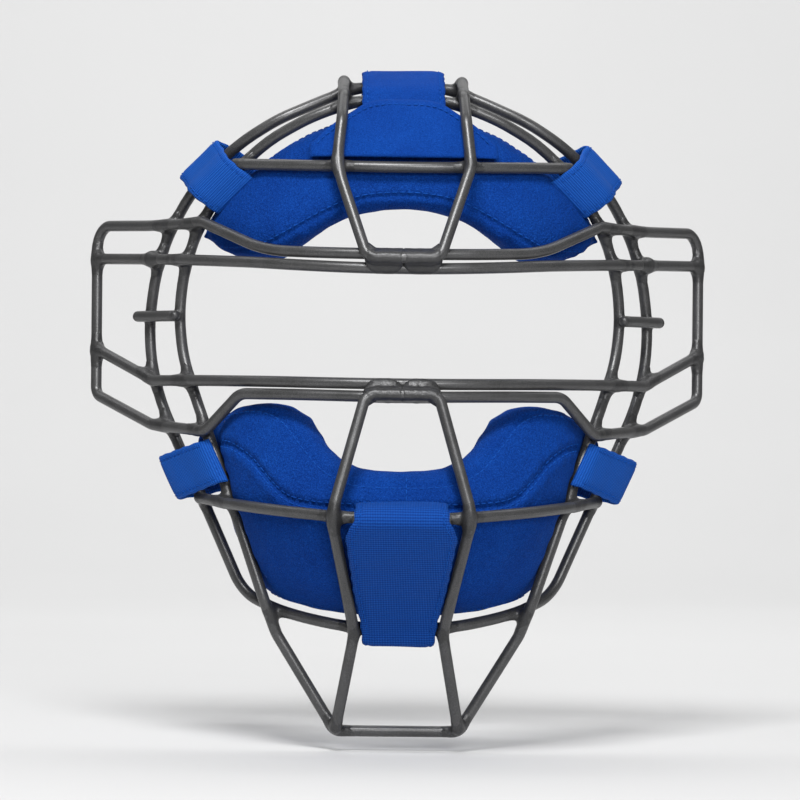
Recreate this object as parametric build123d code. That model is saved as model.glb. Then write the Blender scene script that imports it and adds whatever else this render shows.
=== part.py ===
from build123d import *
import math
import os

# ---------------------------------------------------------------------------
# Catcher's mask: welded tubular-wire cage with two padded, hook-and-loop
# fastened face pads.  Millimetres.  X = wearer's left, -Y = out of the front
# of the mask, +Z = up.  The origin is the centre of the face seat: the middle
# of the plane through the two side runs of the rear hoop, at eye-port height.
# ---------------------------------------------------------------------------

WIRE_D = 4.76            # cage wire outside diameter (3/16 in)
WIRE_R = WIRE_D / 2
SEAT = 86.0              # depth of the face seat plane behind the eye bars
LAYER = 4.6              # depth between two crossing wires, centre to centre
STRAP_T = 2.0            # sewn strap thickness
STRAP_W = 25.0           # side strap width (1 in)
TOP_W = 35.0             # top strap width
PATCH_T = 0.9            # hook and loop patch thickness
GAP = 0.35               # free play between a moving strap and its neighbours
SKIN = 1.6               # pad cover and lining thickness
PAD_T = 24.0             # pad thickness

os.makedirs("parts", exist_ok=True)
nodes = {}

# ------------------------------------------------------------- form surface
# The cage bars lie on one curved form.  CROWN gives its depth on the mirror
# plane against height; across the width it is an arc and then a tangent flat.
CROWN = [(-142, 26), (-120, 19), (-100, 11.5), (-94, 7.5), (-83, -4), (-75, -10.4), (-66, -17),
         (-57, -21.8), (-48, -24), (-36, -21.5), (-25, -16), (-12, -9.2), (1.7, -4.5), (6.6, -3), (18, -1.8),
         (30, -1), (42, -0.4), (54.6, 0), (60.5, 1), (70, 4.3), (79, 8), (88, 12.1), (97.5, 16), (108, 20), (118, 24.5),
         (124, 28), (127.5, 31.5), (131, 37), (134, 45), (136, 54)]


def lerp_table(v, table):
    if v <= table[0][0]:
        return table[0][1]
    for (a, p), (b, q) in zip(table, table[1:]):
        if v <= b:
            return p + (q - p) * (v - a) / (b - a)
    return table[-1][1]


def form(x, z):
    """Depth of the form surface at width x and height z (front is small)."""
    rad = lerp_table(z, [(-48, 75), (0, 105)])
    ang = math.radians(lerp_table(z, [(-48, 60), (0, 54)]))
    x = abs(x)
    xt = rad * math.sin(ang)
    if x <= xt:
        return lerp_table(z, CROWN) + rad - math.sqrt(rad * rad - x * x)
    return lerp_table(z, CROWN) + rad * (1 - math.cos(ang)) + (x - xt) * math.tan(ang)


def layer_of(p):
    """Distance of point p behind the form surface, square to it."""
    x, y, z = p
    e = 1.5
    sx = (form(x + e, z) - form(x - e, z)) / (2 * e)
    sz = (form(x, z + e) - form(x, z - e)) / (2 * e)
    return (y - form(x, z)) / math.sqrt(1 + sx * sx + sz * sz)


def on_form(x, z, layer):
    lo, hi = -60.0, 200.0
    for _ in range(50):
        m = (lo + hi) / 2
        if layer_of((x, m, z)) < layer:
            lo = m
        else:
            hi = m
    return (x, (lo + hi) / 2, z)


# ------------------------------------------------------- small vector tools
def add(a, b, k=1.0):
    return tuple(p + k * q for p, q in zip(a, b))


def sub(a, b):
    return tuple(p - q for p, q in zip(a, b))


def dot(a, b):
    return sum(p * q for p, q in zip(a, b))


def cross(a, b):
    return (a[1] * b[2] - a[2] * b[1], a[2] * b[0] - a[0] * b[2], a[0] * b[1] - a[1] * b[0])


def unit(a):
    n = math.sqrt(dot(a, a))
    return tuple(p / n for p in a)


def row(p):
    """From depth behind the eye bars to the part's own frame."""
    return (p[0], p[1] - SEAT, p[2])


def mirror_pts(pts):
    return [(-x, y, z) for x, y, z in pts]


def both_sides(half):
    """A run given from the mirror plane outward, made whole."""
    return mirror_pts(half[::-1]) + half


# --------------------------------------------------------------------- rods
def corner_radius(a, b, c, cap):
    u, v = sub(b, a), sub(c, b)
    lu, lv = math.sqrt(dot(u, u)), math.sqrt(dot(v, v))
    turn = math.acos(max(-1, min(1, dot(u, v) / (lu * lv))))
    if turn < 0.002:
        raise ValueError("three points in line near %s" % (b,))
    return min(cap, 0.45 * min(lu, lv) / math.tan(turn / 2))


def rod(pts, tight=None, r=WIRE_R):
    """A wire along pts: straight runs joined by tangent arcs.
    tight maps a corner's index to its bend radius; the other bends are as
    large as their runs allow."""
    tight = tight or {}
    radii = [corner_radius(pts[i - 1], pts[i], pts[i + 1], tight.get(i, 400.0))
             for i in range(1, len(pts) - 1)]
    p = [row(q) for q in pts]
    start = Plane(origin=p[0], z_dir=sub(p[1], p[0]))
    if not radii:
        return extrude(start * Circle(r), amount=math.dist(p[0], p[1]))
    return sweep(start * Circle(r), path=FilletPolyline(*p, radius=radii).wire())


def hoop(half, tight=None):
    """A closed loop, given as its half on +X from top centre to bottom
    centre, with its first and last runs square to the mirror plane."""
    one = rod(half, tight)
    two = mirror(one, Plane.YZ)
    return one + two


# Each list runs outward from the mirror plane, as (width, depth, height).
REAR_HOOP = [(0, 61.0, 134.8), (17.5, 61.0, 134.3), (30.6, 57.8, 129.6), (41.2, 54.6, 124.8), (53.2, 52.8, 119.4),
             (67.1, 55.4, 110.8), (79.5, 61.6, 100.6), (91.3, 70.6, 87.4), (100.9, 77.0, 69.4),
             (106.1, 80.4, 52.2), (108.4, 82.0, 32.7), (107.5, 80.0, 16.5), (103.4, 72.6, 0.0),
             (96.0, 63.4, -17.2), (83.3, 51.9, -43.6), (65.7, 44.0, -82.6), (51.5, 31.5, -88.8),
             (40.8, 24.4, -91.6), (26.0, 17.6, -94.4), (12.0, 14.6, -95.7), (0, 14.6, -95.7)]
FRONT_HOOP = [(0, 40.0, 128.2), (15.3, 40.0, 127.5), (30.5, 38.0, 122.9), (41.1, 38.6, 118.5), (55.7, 42.9, 110.5),
              (67.4, 48.0, 100.6), (77.9, 53.6, 88.1), (88.1, 59.8, 70.4), (93.3, 62.8, 52.5),
              (94.9, 63.6, 35.3), (93.0, 59.8, 18.0), (87.0, 49.4, 0.0), (71.7, 30.8, -40.5),
              (56.4, 25.2, -84.9), (51.3, 30.0, -98.8), (26.0, 28.3, -139.6), (0, 28.3, -139.6)]
BROW_BAR = [(10, 16.4, 97.4), (28, 19.8, 97.8), (43, 25.4, 98.2), (57, 33.4, 98.8), (71.0, 43.6, 99.4)]
UPPER_EYE_BAR = [(13, 0.4, 54.5), (31, 4.6, 55.1), (48, 11.7, 56.0), (62.1, 20.6, 57.0), (84.2, 42.8, 58.3),
                 (96.5, 60.0, 59.1), (107.2, 74.8, 59.6)]
EAR_STUB = [(107.9, 75.8, 59.7), (132.2, 112.4, 60.8)]
EAR_GUARD = [(0, 1.5, 60.5), (14, 1.5, 60.5), (35, 6.6, 60.9), (57.8, 18.6, 62.0), (84.5, 48.8, 74.7),
             (95.6, 63.6, 74.4), (108.8, 82.1, 74.4), (133.5, 116.6, 75.5), (132.5, 103.9, 0.9),
             (106.3, 69.7, -11.9), (82.3, 34.9, -14.2), (67.5, 20.1, 1.9), (45, 6.2, 1.8), (14, -4.2, 1.3),
             (0, -4.2, 1.3)]
LOWER_EYE_BAR = [(14, -2.4, 6.6), (34, 2.6, 6.8), (55, 12.6, 7.1), (84.9, 39.6, 7.3), (105.8, 69.0, 7.1),
                 (131.6, 105.2, 20.4)]
UPPER_CHIN_BAR = [(9, -24.0, -48.7), (25, -20.0, -48.1), (40.3, -12.4, -47.0), (53, -2.6, -46.0), (63, 9.0, -45.1),
                  (73.0, 25.2, -44.2), (84.6, 47.5, -42.6)]
UPPER_CENTER_BAR = [(15.1, -3.6, 58.9), (28.2, 14.2, 97.9), (26.1, 22.2, 118.0), (25.4, 34.2, 128.9),
                    (25.4, 57.2, 136.6), (25.4, 62.6, 136.4)]
LOWER_CENTER_BAR = [(15.0, -8.5, 2.3), (28.8, -24.6, -47.4), (18.4, 11.8, -97.4), (25.7, 23.8, -137.9)]
STRAP_POST = [(96.6, 58.4, 34.9), (113.4, 81.3, 34.9)]

nodes["rear_hoop"] = hoop(REAR_HOOP)
nodes["front_hoop"] = hoop(FRONT_HOOP, {13: 20.0, 14: 12.0, 15: 6.0})
nodes["brow_bar"] = rod(both_sides(BROW_BAR))
nodes["upper_eye_bar"] = rod(both_sides(UPPER_EYE_BAR))
nodes["lower_eye_bar"] = rod(both_sides(LOWER_EYE_BAR), {1: 14.0, 10: 14.0})
nodes["upper_chin_bar"] = rod(both_sides(UPPER_CHIN_BAR))
n = len(UPPER_CENTER_BAR)
nodes["upper_center_bar"] = rod(both_sides(UPPER_CENTER_BAR),
                                {1: 8.0, 3: 12.0, n - 1: 5.5, n: 5.5, n + 1: 12.0,
                                 n - 2: 12.0, 2 * n - 4: 12.0, 2 * n - 2: 8.0, 2: 8.0, 2 * n - 3: 8.0})
nodes["lower_center_bar"] = rod(both_sides(LOWER_CENTER_BAR),
                                {1: 9.0, 2: 12.0, 3: 5.5, 4: 5.5, 5: 12.0, 6: 9.0})
EAR_TIGHT = {4: 12.0, 5: 12.0, 7: 9.0, 8: 6.0, 9: 14.0, 10: 10.0, 11: 10.0}
left_ear = rod(EAR_GUARD, EAR_TIGHT)
nodes["left_ear_guard"] = left_ear
nodes["right_ear_guard"] = mirror(left_ear, Plane.YZ)
left_stub = rod(EAR_STUB)
nodes["left_ear_stub"] = left_stub
nodes["right_ear_stub"] = mirror(left_stub, Plane.YZ)

# Strap posts: a short rod across both hoops.
post = rod(STRAP_POST)
nodes["left_strap_post"] = post
nodes["right_strap_post"] = mirror(post, Plane.YZ)

# -------------------------------------------------------------------- welds
WIRES = {
    "rear_hoop": REAR_HOOP, "front_hoop": FRONT_HOOP, "brow_bar": BROW_BAR,
    "upper_eye_bar": UPPER_EYE_BAR, "lower_eye_bar": LOWER_EYE_BAR, "upper_chin_bar": UPPER_CHIN_BAR,
    "upper_center_bar": [(0, -3.6, 58.9)] + UPPER_CENTER_BAR, "lower_center_bar": [(0, -8.5, 2.3)] + LOWER_CENTER_BAR,
    "left_ear_guard": EAR_GUARD, "left_ear_stub": EAR_STUB, "left_strap_post": STRAP_POST,
}


def walk(pts, near, reach):
    out = []
    for p, q in zip(pts, pts[1:]):
        k = max(2, int(math.dist(p, q) / 0.7))
        out += [add(p, sub(q, p), i / k) for i in range(k + 1)]
    return [s for s in out if math.dist(s, near) < reach]


def closest(a, b, near, reach):
    """Closest points of two wires near a rough place."""
    best = (1e9, None, None)
    for p in walk(WIRES[a], near, reach):
        for q in walk(WIRES[b], near, reach):
            d = math.dist(p, q)
            if d < best[0]:
                best = (d, p, q)
    return best


def facets_agree(s):
    """Whether a solid's facets enclose the same volume as its faces."""
    for tol in (0.02, 0.06):
        verts, tris = s.tessellate(tol, 0.25)
        v = [(q.X, q.Y, q.Z) for q in verts]
        got = sum(dot(v[i], cross(v[j], v[k])) for i, j, k in tris) / 6
        if abs(abs(got) - s.volume) > 0.02 * s.volume:
            return False
    return True


def bead(a, b, near, size=3.5, reach=26, plain=False):
    """A weld fillet: a small blob at the contact, cut to fit the wires."""
    d, p, q = closest(a, b, near, reach)
    mid = tuple((i + j) / 2 for i, j in zip(p, q))
    print("weld", a, b, "centre distance %.2f at (%.1f, %.1f, %.1f)" % ((d,) + row(mid)))
    for extra in () if plain else (0.0, 0.13, -0.13, 0.27, -0.27, 0.4, -0.4):
        centre = row(add(mid, (0.31, -0.23, 0.37), extra))
        blob = Pos(*centre) * Sphere(size + extra)
        full = blob.volume
        for name, pts in WIRES.items():
            if name in (a, b) or walk(pts, mid, size + WIRE_R + 4):
                blob = blob - nodes[name]
        kept = [s for s in blob.solids() if s.volume > 1.0]
        if kept and all(s.is_valid and facets_agree(s) for s in kept) and sum(s.volume for s in kept) < 0.6 * full:
            return kept
    print("  weld kept as a plain bead")
    return [Solid.make_sphere(size * 0.9).moved(Location(row(mid)))]


WELDS = {
    "crown_welds": [("rear_hoop", "upper_center_bar", (25.4, 57, 134), 3.7),
                    ("front_hoop", "upper_center_bar", (25.4, 36, 127), 3.7),
                    ("brow_bar", "upper_center_bar", (28, 17, 98), 3.7),
                    ("brow_bar", "front_hoop", (70, 46, 99), 3.6)],
    "eye_bar_welds": [("upper_eye_bar", "front_hoop", (92, 58, 58), 3.7),
                      ("upper_eye_bar", "rear_hoop", (105, 77, 59), 3.8, 26, True),
                      ("lower_eye_bar", "front_hoop", (89, 50, 7), 3.6, 26, True),
                      ("lower_eye_bar", "rear_hoop", (105, 72, 7), 3.6, 26, True)],
    "ear_guard_welds": [("left_ear_guard", "front_hoop", (86, 56, 74), 3.7),
                        ("left_ear_guard", "rear_hoop", (99, 72, 74), 3.7),
                        ("left_ear_guard", "front_hoop", (81, 42, -14), 3.6, 26, True),
                        ("left_ear_guard", "rear_hoop", (97, 62, -14), 3.6, 26, True),
                        ("left_ear_guard", "left_ear_stub", (132.5, 113, 60.8), 3.6),
                        ("left_ear_guard", "lower_eye_bar", (132, 106, 20.5), 3.6)],
    "center_bar_welds": [("left_ear_guard", "upper_center_bar", (9.0, -1, 59.7), 3.7, 4.5),
                         ("left_ear_guard", "lower_center_bar", (9.0, -6.3, 1.8), 3.7, 4.5)],
    "chin_welds": [("upper_chin_bar", "front_hoop", (72, 28, -44), 3.6, 26, True),
                   ("upper_chin_bar", "rear_hoop", (84, 48, -43), 3.6),
                   ("upper_chin_bar", "lower_center_bar", (28, -21, -48), 3.7),
                   ("rear_hoop", "front_hoop", (53, 30, -89), 3.8),
                   ("rear_hoop", "lower_center_bar", (18.5, 14, -96), 3.8),
                   ("front_hoop", "lower_center_bar", (25.7, 26, -138.5), 3.6)],
    "strap_post_welds": [("left_strap_post", "front_hoop", (95, 61, 35), 3.4),
                         ("left_strap_post", "rear_hoop", (108, 79, 35), 3.4)],
}
for group, seams in WELDS.items():
    got = []
    for seam in seams:
        got += bead(*seam)
    half = Compound(children=got) if len(got) > 1 else got[0]
    other = mirror(half, Plane.YZ)
    nodes[group] = Compound(children=[s for s in half.solids()] + [s for s in other.solids()])

# --------------------------------------------------------------------- pads


PASSED = []      # (x, z, layer) along every wire that a pad passes behind
for name in ("front_hoop", "rear_hoop", "brow_bar", "upper_chin_bar", "upper_center_bar", "lower_center_bar",
             "left_ear_guard", "upper_eye_bar"):
    for p, q in zip(WIRES[name], WIRES[name][1:]):
        k = max(1, int(math.dist(p, q) / 2.5))
        for i in range(k + 1):
            m = add(p, sub(q, p), i / k)
            PASSED.append((m[0], m[2], layer_of(m)))


def front_layer(x, z):
    """How far behind the form the pad's front lies: a little behind the
    bars, and further back where it passes behind a hoop or a leg."""
    base = 3.4
    best = base
    x = abs(x)
    for px, pz, lay in PASSED:
        want = lay + WIRE_R + 1.1
        if want > best:
            d = math.hypot(x - px, z - pz)
            if d < 10.5:
                k = min(1.0, (10.5 - d) / 6.5)
                k = k * k * (3 - 2 * k)
                best = max(best, base + (want - base) * k)
    return min(best, 9.5)


STATIONS = [0.0, 0.09, 0.26, 0.5, 0.74, 0.91, 1.0]
FRONT_ROUND = [5.2, 1.9, 0.0, 0.0, 0.0, 1.9, 5.2]
BACK_ROUND = [-6.5, -2.4, -0.4, 0.0, -0.4, -2.4, -6.5]


def pad_section(inner, outer):
    """Front and back points of a pad's cross-section, all in one plane.
    inner and outer are (x, z) on the pad's two edges."""
    a = on_form(inner[0], inner[1], front_layer(*inner))
    b = on_form(outer[0], outer[1], front_layer(*outer))
    chord = sub(b, a)
    mx, mz = (inner[0] + outer[0]) / 2, (inner[1] + outer[1]) / 2
    e = 1.5
    nrm = unit((-(form(mx + e, mz) - form(mx - e, mz)) / (2 * e), 1.0, -(form(mx, mz + e) - form(mx, mz - e)) / (2 * e)))
    cu = unit(chord)
    nrm = unit(sub(nrm, tuple(dot(nrm, cu) * c for c in cu)))
    fronts, backs = [], []
    for v, fr, br in zip(STATIONS, FRONT_ROUND, BACK_ROUND):
        base = add(a, chord, v)
        want = front_layer(base[0], base[2])
        lo, hi = -60.0, 60.0
        for _ in range(40):
            m = (lo + hi) / 2
            if layer_of(add(base, nrm, m)) < want:
                lo = m
            else:
                hi = m
        off = (lo + hi) / 2
        fronts.append((v, off + fr))
        backs.append((v, off + PAD_T + br))
    # one smooth back, so the face side stays fair
    return a, chord, nrm, cu, fronts, backs


def place(sec, v, off, shift=0.0):
    a, chord, nrm, cu = sec[:4]
    return row(add(add(add(a, chord, v), nrm, off), cu, shift))


def pad_solids(edge_pairs, undercut):
    """Cover, foam and lining of a pad as three nested lofts.  undercut is how
    far the back of the face-opening edge is set back, by half width."""
    secs = [pad_section(i, o) for i, o in edge_pairs]
    cover_w, foam_w, lining_w = [], [], []
    for s in secs:
        fr, bk = s[4], s[5]
        mid0 = (fr[0][1] + bk[0][1]) / 2
        mid1 = (fr[-1][1] + bk[-1][1]) / 2
        F = [place(s, v, o) for v, o in fr]
        cut = lerp_table(abs(s[0][0]), undercut)
        B = [place(s, v, o, cut * (1 - v)) for v, o in bk]
        M0, M1 = place(s, 0, mid0, cut * 0.42), place(s, 1, mid1)
        fi = [place(s, v, o + SKIN, SKIN if i == 0 else (-SKIN if i == len(fr) - 1 else 0)) for i, (v, o) in enumerate(fr)]
        bi = [place(s, v, o - SKIN, cut * (1 - v) + (SKIN if i == 0 else (-SKIN if i == len(fr) - 1 else 0)))
              for i, (v, o) in enumerate(bk)]
        m0, m1 = place(s, 0, mid0, cut * 0.42 + SKIN), place(s, 1, mid1, -SKIN)
        cover_w.append([M0] + F + [M1, m1] + fi[::-1] + [m0])
        lining_w.append([M0] + B + [M1, m1] + bi[::-1] + [m0])
        foam_w.append([m0] + fi + [m1] + bi[::-1])
    out = []
    for ws in (cover_w, foam_w, lining_w):
        out.append(Solid.make_loft([Wire.make_polygon([Vector(*p) for p in w], close=True) for w in ws], ruled=True))
    return out


# Edge pairs run from the mirror plane to the pad's end, (x, z) of the edge
# nearer the face opening and of the edge nearer the hoops.
FOREHEAD_EDGES = [((0, 83.2), (0, 124.4)), ((12.5, 82.4), (14, 124.0)), ((23, 80.0), (27.5, 121.4)),
                  ((32.7, 75.6), (40.6, 116.4)), ((42, 70.3), (53.5, 108.8)), ((50.5, 65.4), (65.5, 100.0)),
                  ((58.3, 61.8), (77.4, 88.8)), ((68, 61.2), (84.8, 78.2)), ((77.0, 62.2), (87.2, 69.6))]
CHIN_EDGES = [((0, -32.4), (0, -95.2)), ((11, -32.2), (13, -94.6)), ((21.5, -31.0), (25.5, -93.0)),
              ((32.6, -25.4), (38, -90.8)), ((41.5, -15.4), (49.6, -88.0)), ((48.5, -6.6), (59.0, -83.2)),
              ((56, -2.4), (65.4, -74.4)), ((65, -2.0), (70.4, -62.4)), ((73.5, -4.2), (74.6, -48.6)),
              ((81.3, -8.4), (80.0, -34.6)), ((86.0, -13.4), (85.2, -24.6))]


def whole(edges):
    return [((-a[0], a[1]), (-b[0], b[1])) for a, b in edges[:0:-1]] + edges


cover, foam, lining = pad_solids(whole(FOREHEAD_EDGES), [(0, 9.0), (33, 10.5), (50, 7.0), (68, 4.0), (90, 3.0)])
nodes["forehead_pad_cover"], nodes["forehead_pad_foam"], nodes["forehead_pad_lining"] = cover, foam, lining
cover, foam, lining = pad_solids(whole(CHIN_EDGES), [(0, 7.0), (25, 7.0), (45, 4.0), (60, 2.0), (90, 2.0)])
nodes["chin_pad_cover"], nodes["chin_pad_foam"], nodes["chin_pad_lining"] = cover, foam, lining

# Front panel of the forehead pad: a single sewn sheet between the crown of
# the front hoop and the brow bar, behind the center bar.
PANEL_EDGES = [(0, 101.4, 126.8), (9, 101.4, 126.6), (15.5, 101.5, 125.2), (21.5, 101.7, 121.6), (31, 101.9, 115.0),
               (39.5, 102.1, 107.0)]
wires = []
for x, z0, z1 in [(-a, b, c) for a, b, c in PANEL_EDGES[:0:-1]] + PANEL_EDGES:
    zs = [z0 + (z1 - z0) * t for t in (0, 0.33, 0.66, 1)]
    fr = [row(on_form(x, z, -1.8)) for z in zs]
    bk = [row(on_form(x, z, -0.5)) for z in zs]
    wires.append(Wire.make_polygon([Vector(*p) for p in fr + bk[::-1]], close=True))
nodes["forehead_front_panel"] = Solid.make_loft(wires, ruled=True)

# ------------------------------------------------------------------- straps


def strip(mid, t, lo=None, hi=None, round_start=False, first=0):
    """Outline of a bent strip: the line mid thickened by t/2 each way, or
    between offsets lo and hi measured to its left."""
    lo = -t / 2 if lo is None else lo
    hi = t / 2 if hi is None else hi
    nrm = []
    for i in range(len(mid)):
        if i == 0:
            d = (mid[1][0] - mid[0][0], mid[1][1] - mid[0][1])
            n_ = (-d[1], d[0])
            k = 1.0 / math.hypot(*n_)
        elif i == len(mid) - 1:
            d = (mid[-1][0] - mid[-2][0], mid[-1][1] - mid[-2][1])
            n_ = (-d[1], d[0])
            k = 1.0 / math.hypot(*n_)
        else:
            d1 = (mid[i][0] - mid[i - 1][0], mid[i][1] - mid[i - 1][1])
            d2 = (mid[i + 1][0] - mid[i][0], mid[i + 1][1] - mid[i][1])
            l1, l2 = math.hypot(*d1), math.hypot(*d2)
            n_ = (-d1[1] / l1 - d2[1] / l2, d1[0] / l1 + d2[0] / l2)
            m = math.hypot(*n_)
            c = m / 2
            k = 1.0 / m / max(c, 0.35)
        nrm.append((n_[0] * k, n_[1] * k))
    mid, nrm = mid[first:], nrm[first:]
    left = [(p[0] + q[0] * hi, p[1] + q[1] * hi) for p, q in zip(mid, nrm)]
    right = [(p[0] + q[0] * lo, p[1] + q[1] * lo) for p, q in zip(mid, nrm)]
    if round_start:
        a0 = math.atan2(nrm[0][1], nrm[0][0])
        cap = [(mid[0][0] + t / 2 * math.cos(a0 + k * math.pi / 8), mid[0][1] + t / 2 * math.sin(a0 + k * math.pi / 8))
               for k in range(1, 8)]
        return left[::-1] + cap + right
    return left[::-1] + right


def arc_pts(cx, cy, r, a0, a1, k):
    return [(cx + r * math.cos(math.radians(a0 + (a1 - a0) * i / k)),
             cy + r * math.sin(math.radians(a0 + (a1 - a0) * i / k))) for i in range(k + 1)]


def slab(plane, outline, width, along=None):
    """The outline drawn on plane, made width thick, centred on it."""
    face = plane * make_face(Polyline(*outline, close=True))
    if along is None:
        return extrude(face, amount=width / 2, both=True)
    return extrude(face, amount=width / 2, dir=along, both=True)


# Side straps.  Each is sewn to its pad's front, passes over the front hoop,
# folds round the rear hoop and closes on the pad's back with a tail.  u runs
# across the hoops towards the face opening and w out of the mask; the tail's
# hinge runs along the rear hoop at the fold.
HINGE_U, HINGE_W = -5.0, -1.6


def strap_frame(on_rear, on_front, before, after):
    t = unit(sub(after, before))
    u = unit(sub(on_front, on_rear))
    w = unit(cross(t, u))
    if w[1] > 0:
        w = tuple(-c for c in w)
    if dot(cross(u, w), t) < 0:
        t = tuple(-c for c in t)
    return Plane(origin=row(on_rear), x_dir=u, z_dir=cross(u, w)), u, w, t


def side_strap(name, on_rear, on_front, before, after, rise, front_line, tail_line, width):
    """front_line runs from the fold to the sewn end, tail_line from the
    hinge to the free end; both are (u, w) places on the strap's mid-line."""
    pl, u, w, t = strap_frame(on_rear, on_front, before, after)
    fold = [(HINGE_U, HINGE_W + 1.4), (HINGE_U, HINGE_W + 2.6), (HINGE_U, HINGE_W + rise)]
    fold += arc_pts(HINGE_U + 2.4, HINGE_W + rise + 0.6, 2.4, 180, 112, 3)
    strap = slab(pl, strip(fold + front_line, STRAP_T), width, t)
    mid = [(HINGE_U, HINGE_W)] + tail_line
    tail = slab(pl, strip(mid, STRAP_T, round_start=True), width, t)
    k = len(mid) - 2
    hook = slab(pl, strip(mid, 0, lo=STRAP_T / 2, hi=STRAP_T / 2 + PATCH_T, first=k), width - 2, t)
    loop = slab(pl, strip(mid, 0, lo=STRAP_T / 2 + PATCH_T + GAP, hi=STRAP_T / 2 + 2 * PATCH_T + GAP + 1.2, first=k), width - 2, t)
    hinge = add(add(row(on_rear), u, HINGE_U), w, HINGE_W)
    print("HINGE %s pos (%.3f, %.3f, %.3f) axis (%.5f, %.5f, %.5f)" % ((name,) + hinge + tuple(-c for c in t)))
    print("FRAME %s R (%.3f, %.3f, %.3f) u (%.5f, %.5f, %.5f) w (%.5f, %.5f, %.5f) t (%.5f, %.5f, %.5f)" % ((name,) + row(on_rear) + u + w + t))
    return strap, tail, hook, loop


SIDES = {
    "upper": ((81.6, 63.0, 98.4), (75.6, 52.4, 91.2), REAR_HOOP[5], REAR_HOOP[7], 4.4,
              [(4.0, 6.4), (9.0, 8.2), (14.5, 8.4), (19.5, 5.2), (24.5, -0.6)],
              [(-4.2, -8.0), (-0.5, -16.0), (4.0, -24.0), (9.5, -30.5), (17.5, -32.2), (31.0, -32.6)], STRAP_W),
    "lower": ((88.9, 56.8, -32.2), (76.9, 37.1, -26.8), REAR_HOOP[13], REAR_HOOP[14], 7.4,
              [(3.5, 8.3), (10.0, 7.4), (23.0, 5.4), (27.4, 1.6)],
              [(-4.2, -8.0), (-0.5, -16.0), (4.0, -24.0), (9.5, -30.5), (17.5, -32.2), (31.0, -32.6)], 22.0),
}
for level, spec in SIDES.items():
    strap, tail, hook, loop = side_strap(level, *spec)
    for side in ("left", "right"):
        for what, shape in (("strap", strap), ("strap_tail", tail), ("hook_patch", hook)):
            nodes["%s_%s_%s" % (side, level, what)] = shape if side == "left" else mirror(shape, Plane.YZ)
    nodes["%s_loop_patches" % level] = Compound(children=[loop.solid(), mirror(loop, Plane.YZ).solid()])

# Top strap and chin strap lie on the mirror plane; their outlines are drawn
# as (depth, height).
SIDE_PLANE = Plane(origin=(0, -SEAT, 0), x_dir=(0, 1, 0), z_dir=(1, 0, 0))


def center_strap(mid, width, patch_from=None, inner_sign=1, **kw):
    return slab(SIDE_PLANE, strip(mid, STRAP_T, **kw), width)


TOP_FRONT = [(27.2, 118.0), (30.8, 122.4), (34.4, 127.6), (36.6, 130.8), (40.6, 133.4), (50.0, 137.4), (59.0, 140.2),
             (63.6, 140.0), (66.6, 138.2), (67.6, 136.4)]
TOP_HINGE = (67.8, 134.9)
TOP_BACK = [TOP_HINGE, (67.6, 130.0), (65.4, 122.5), (61.2, 113.5), (56.8, 104.0), (53.4, 96.0)]
nodes["top_strap"] = center_strap(TOP_FRONT, TOP_W)
nodes["top_strap_tail"] = center_strap(TOP_BACK, TOP_W, round_start=True)
nodes["top_hook_patch"] = slab(SIDE_PLANE, strip(TOP_BACK, 0, lo=-STRAP_T / 2 - PATCH_T, hi=-STRAP_T / 2, first=3), TOP_W - 3)
nodes["top_loop_patch"] = slab(SIDE_PLANE, strip(TOP_BACK, 0, lo=-STRAP_T / 2 - 2 * PATCH_T - GAP - 1.2,
                                                 hi=-STRAP_T / 2 - PATCH_T - GAP, first=3), TOP_W - 3)

CHIN_HINGE = (19.9, -99.4)
CHIN_FRONT = [(-18.0, -42.2), (-24.6, -44.0), (-28.2, -46.6), (-28.9, -50.4), (-26.0, -55.0), (-17.2, -65.6), (-6.4, -77.0),
              (3.2, -87.4), (9.6, -95.4), (11.0, -98.6), (12.8, -101.2), (15.6, -102.2), (18.0, -101.4)]
CHIN_BACK = [CHIN_HINGE, (23.0, -98.9), (34.0, -98.3), (40.5, -96.6), (43.6, -92.0), (43.4, -84.0), (42.0, -73.0)]
panel = center_strap(CHIN_FRONT, 60)
# the panel narrows downward between the legs of the lower center bar
taper = make_face(Polyline((-22.6, -38), (22.6, -38), (22.6, -54), (21.8, -58), (18.4, -80), (15.4, -92), (15.2, -106),
                           (-15.2, -106), (-15.4, -92), (-18.4, -80), (-21.8, -58), (-22.6, -54), close=True))
FRONT_PLANE = Plane(origin=(0, 60, 0), x_dir=(1, 0, 0), z_dir=(0, -1, 0))
nodes["chin_front_panel"] = panel & extrude(FRONT_PLANE * taper, amount=300)
nodes["chin_strap_tail"] = slab(SIDE_PLANE, strip(CHIN_BACK, STRAP_T, round_start=True), 29)
nodes["chin_hook_patch"] = slab(SIDE_PLANE, strip(CHIN_BACK, 0, lo=STRAP_T / 2, hi=STRAP_T / 2 + PATCH_T, first=4), 26)
nodes["chin_loop_patch"] = slab(SIDE_PLANE, strip(CHIN_BACK, 0, lo=STRAP_T / 2 + PATCH_T + GAP,
                                                  hi=STRAP_T / 2 + 2 * PATCH_T + GAP + 1.2, first=4), 26)
print("HINGE top pos (0, %.3f, %.3f) axis +X" % (TOP_HINGE[0] - SEAT, TOP_HINGE[1]))
print("HINGE chin pos (0, %.3f, %.3f) axis -X" % (CHIN_HINGE[0] - SEAT, CHIN_HINGE[1]))

for name, shape in nodes.items():
    export_step(shape, "parts/%s.step" % name)
print(len(nodes), "nodes written")
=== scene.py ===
import bpy, bmesh, math, random
import numpy as np
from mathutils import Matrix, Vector
from mathutils.bvhtree import BVHTree


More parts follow.
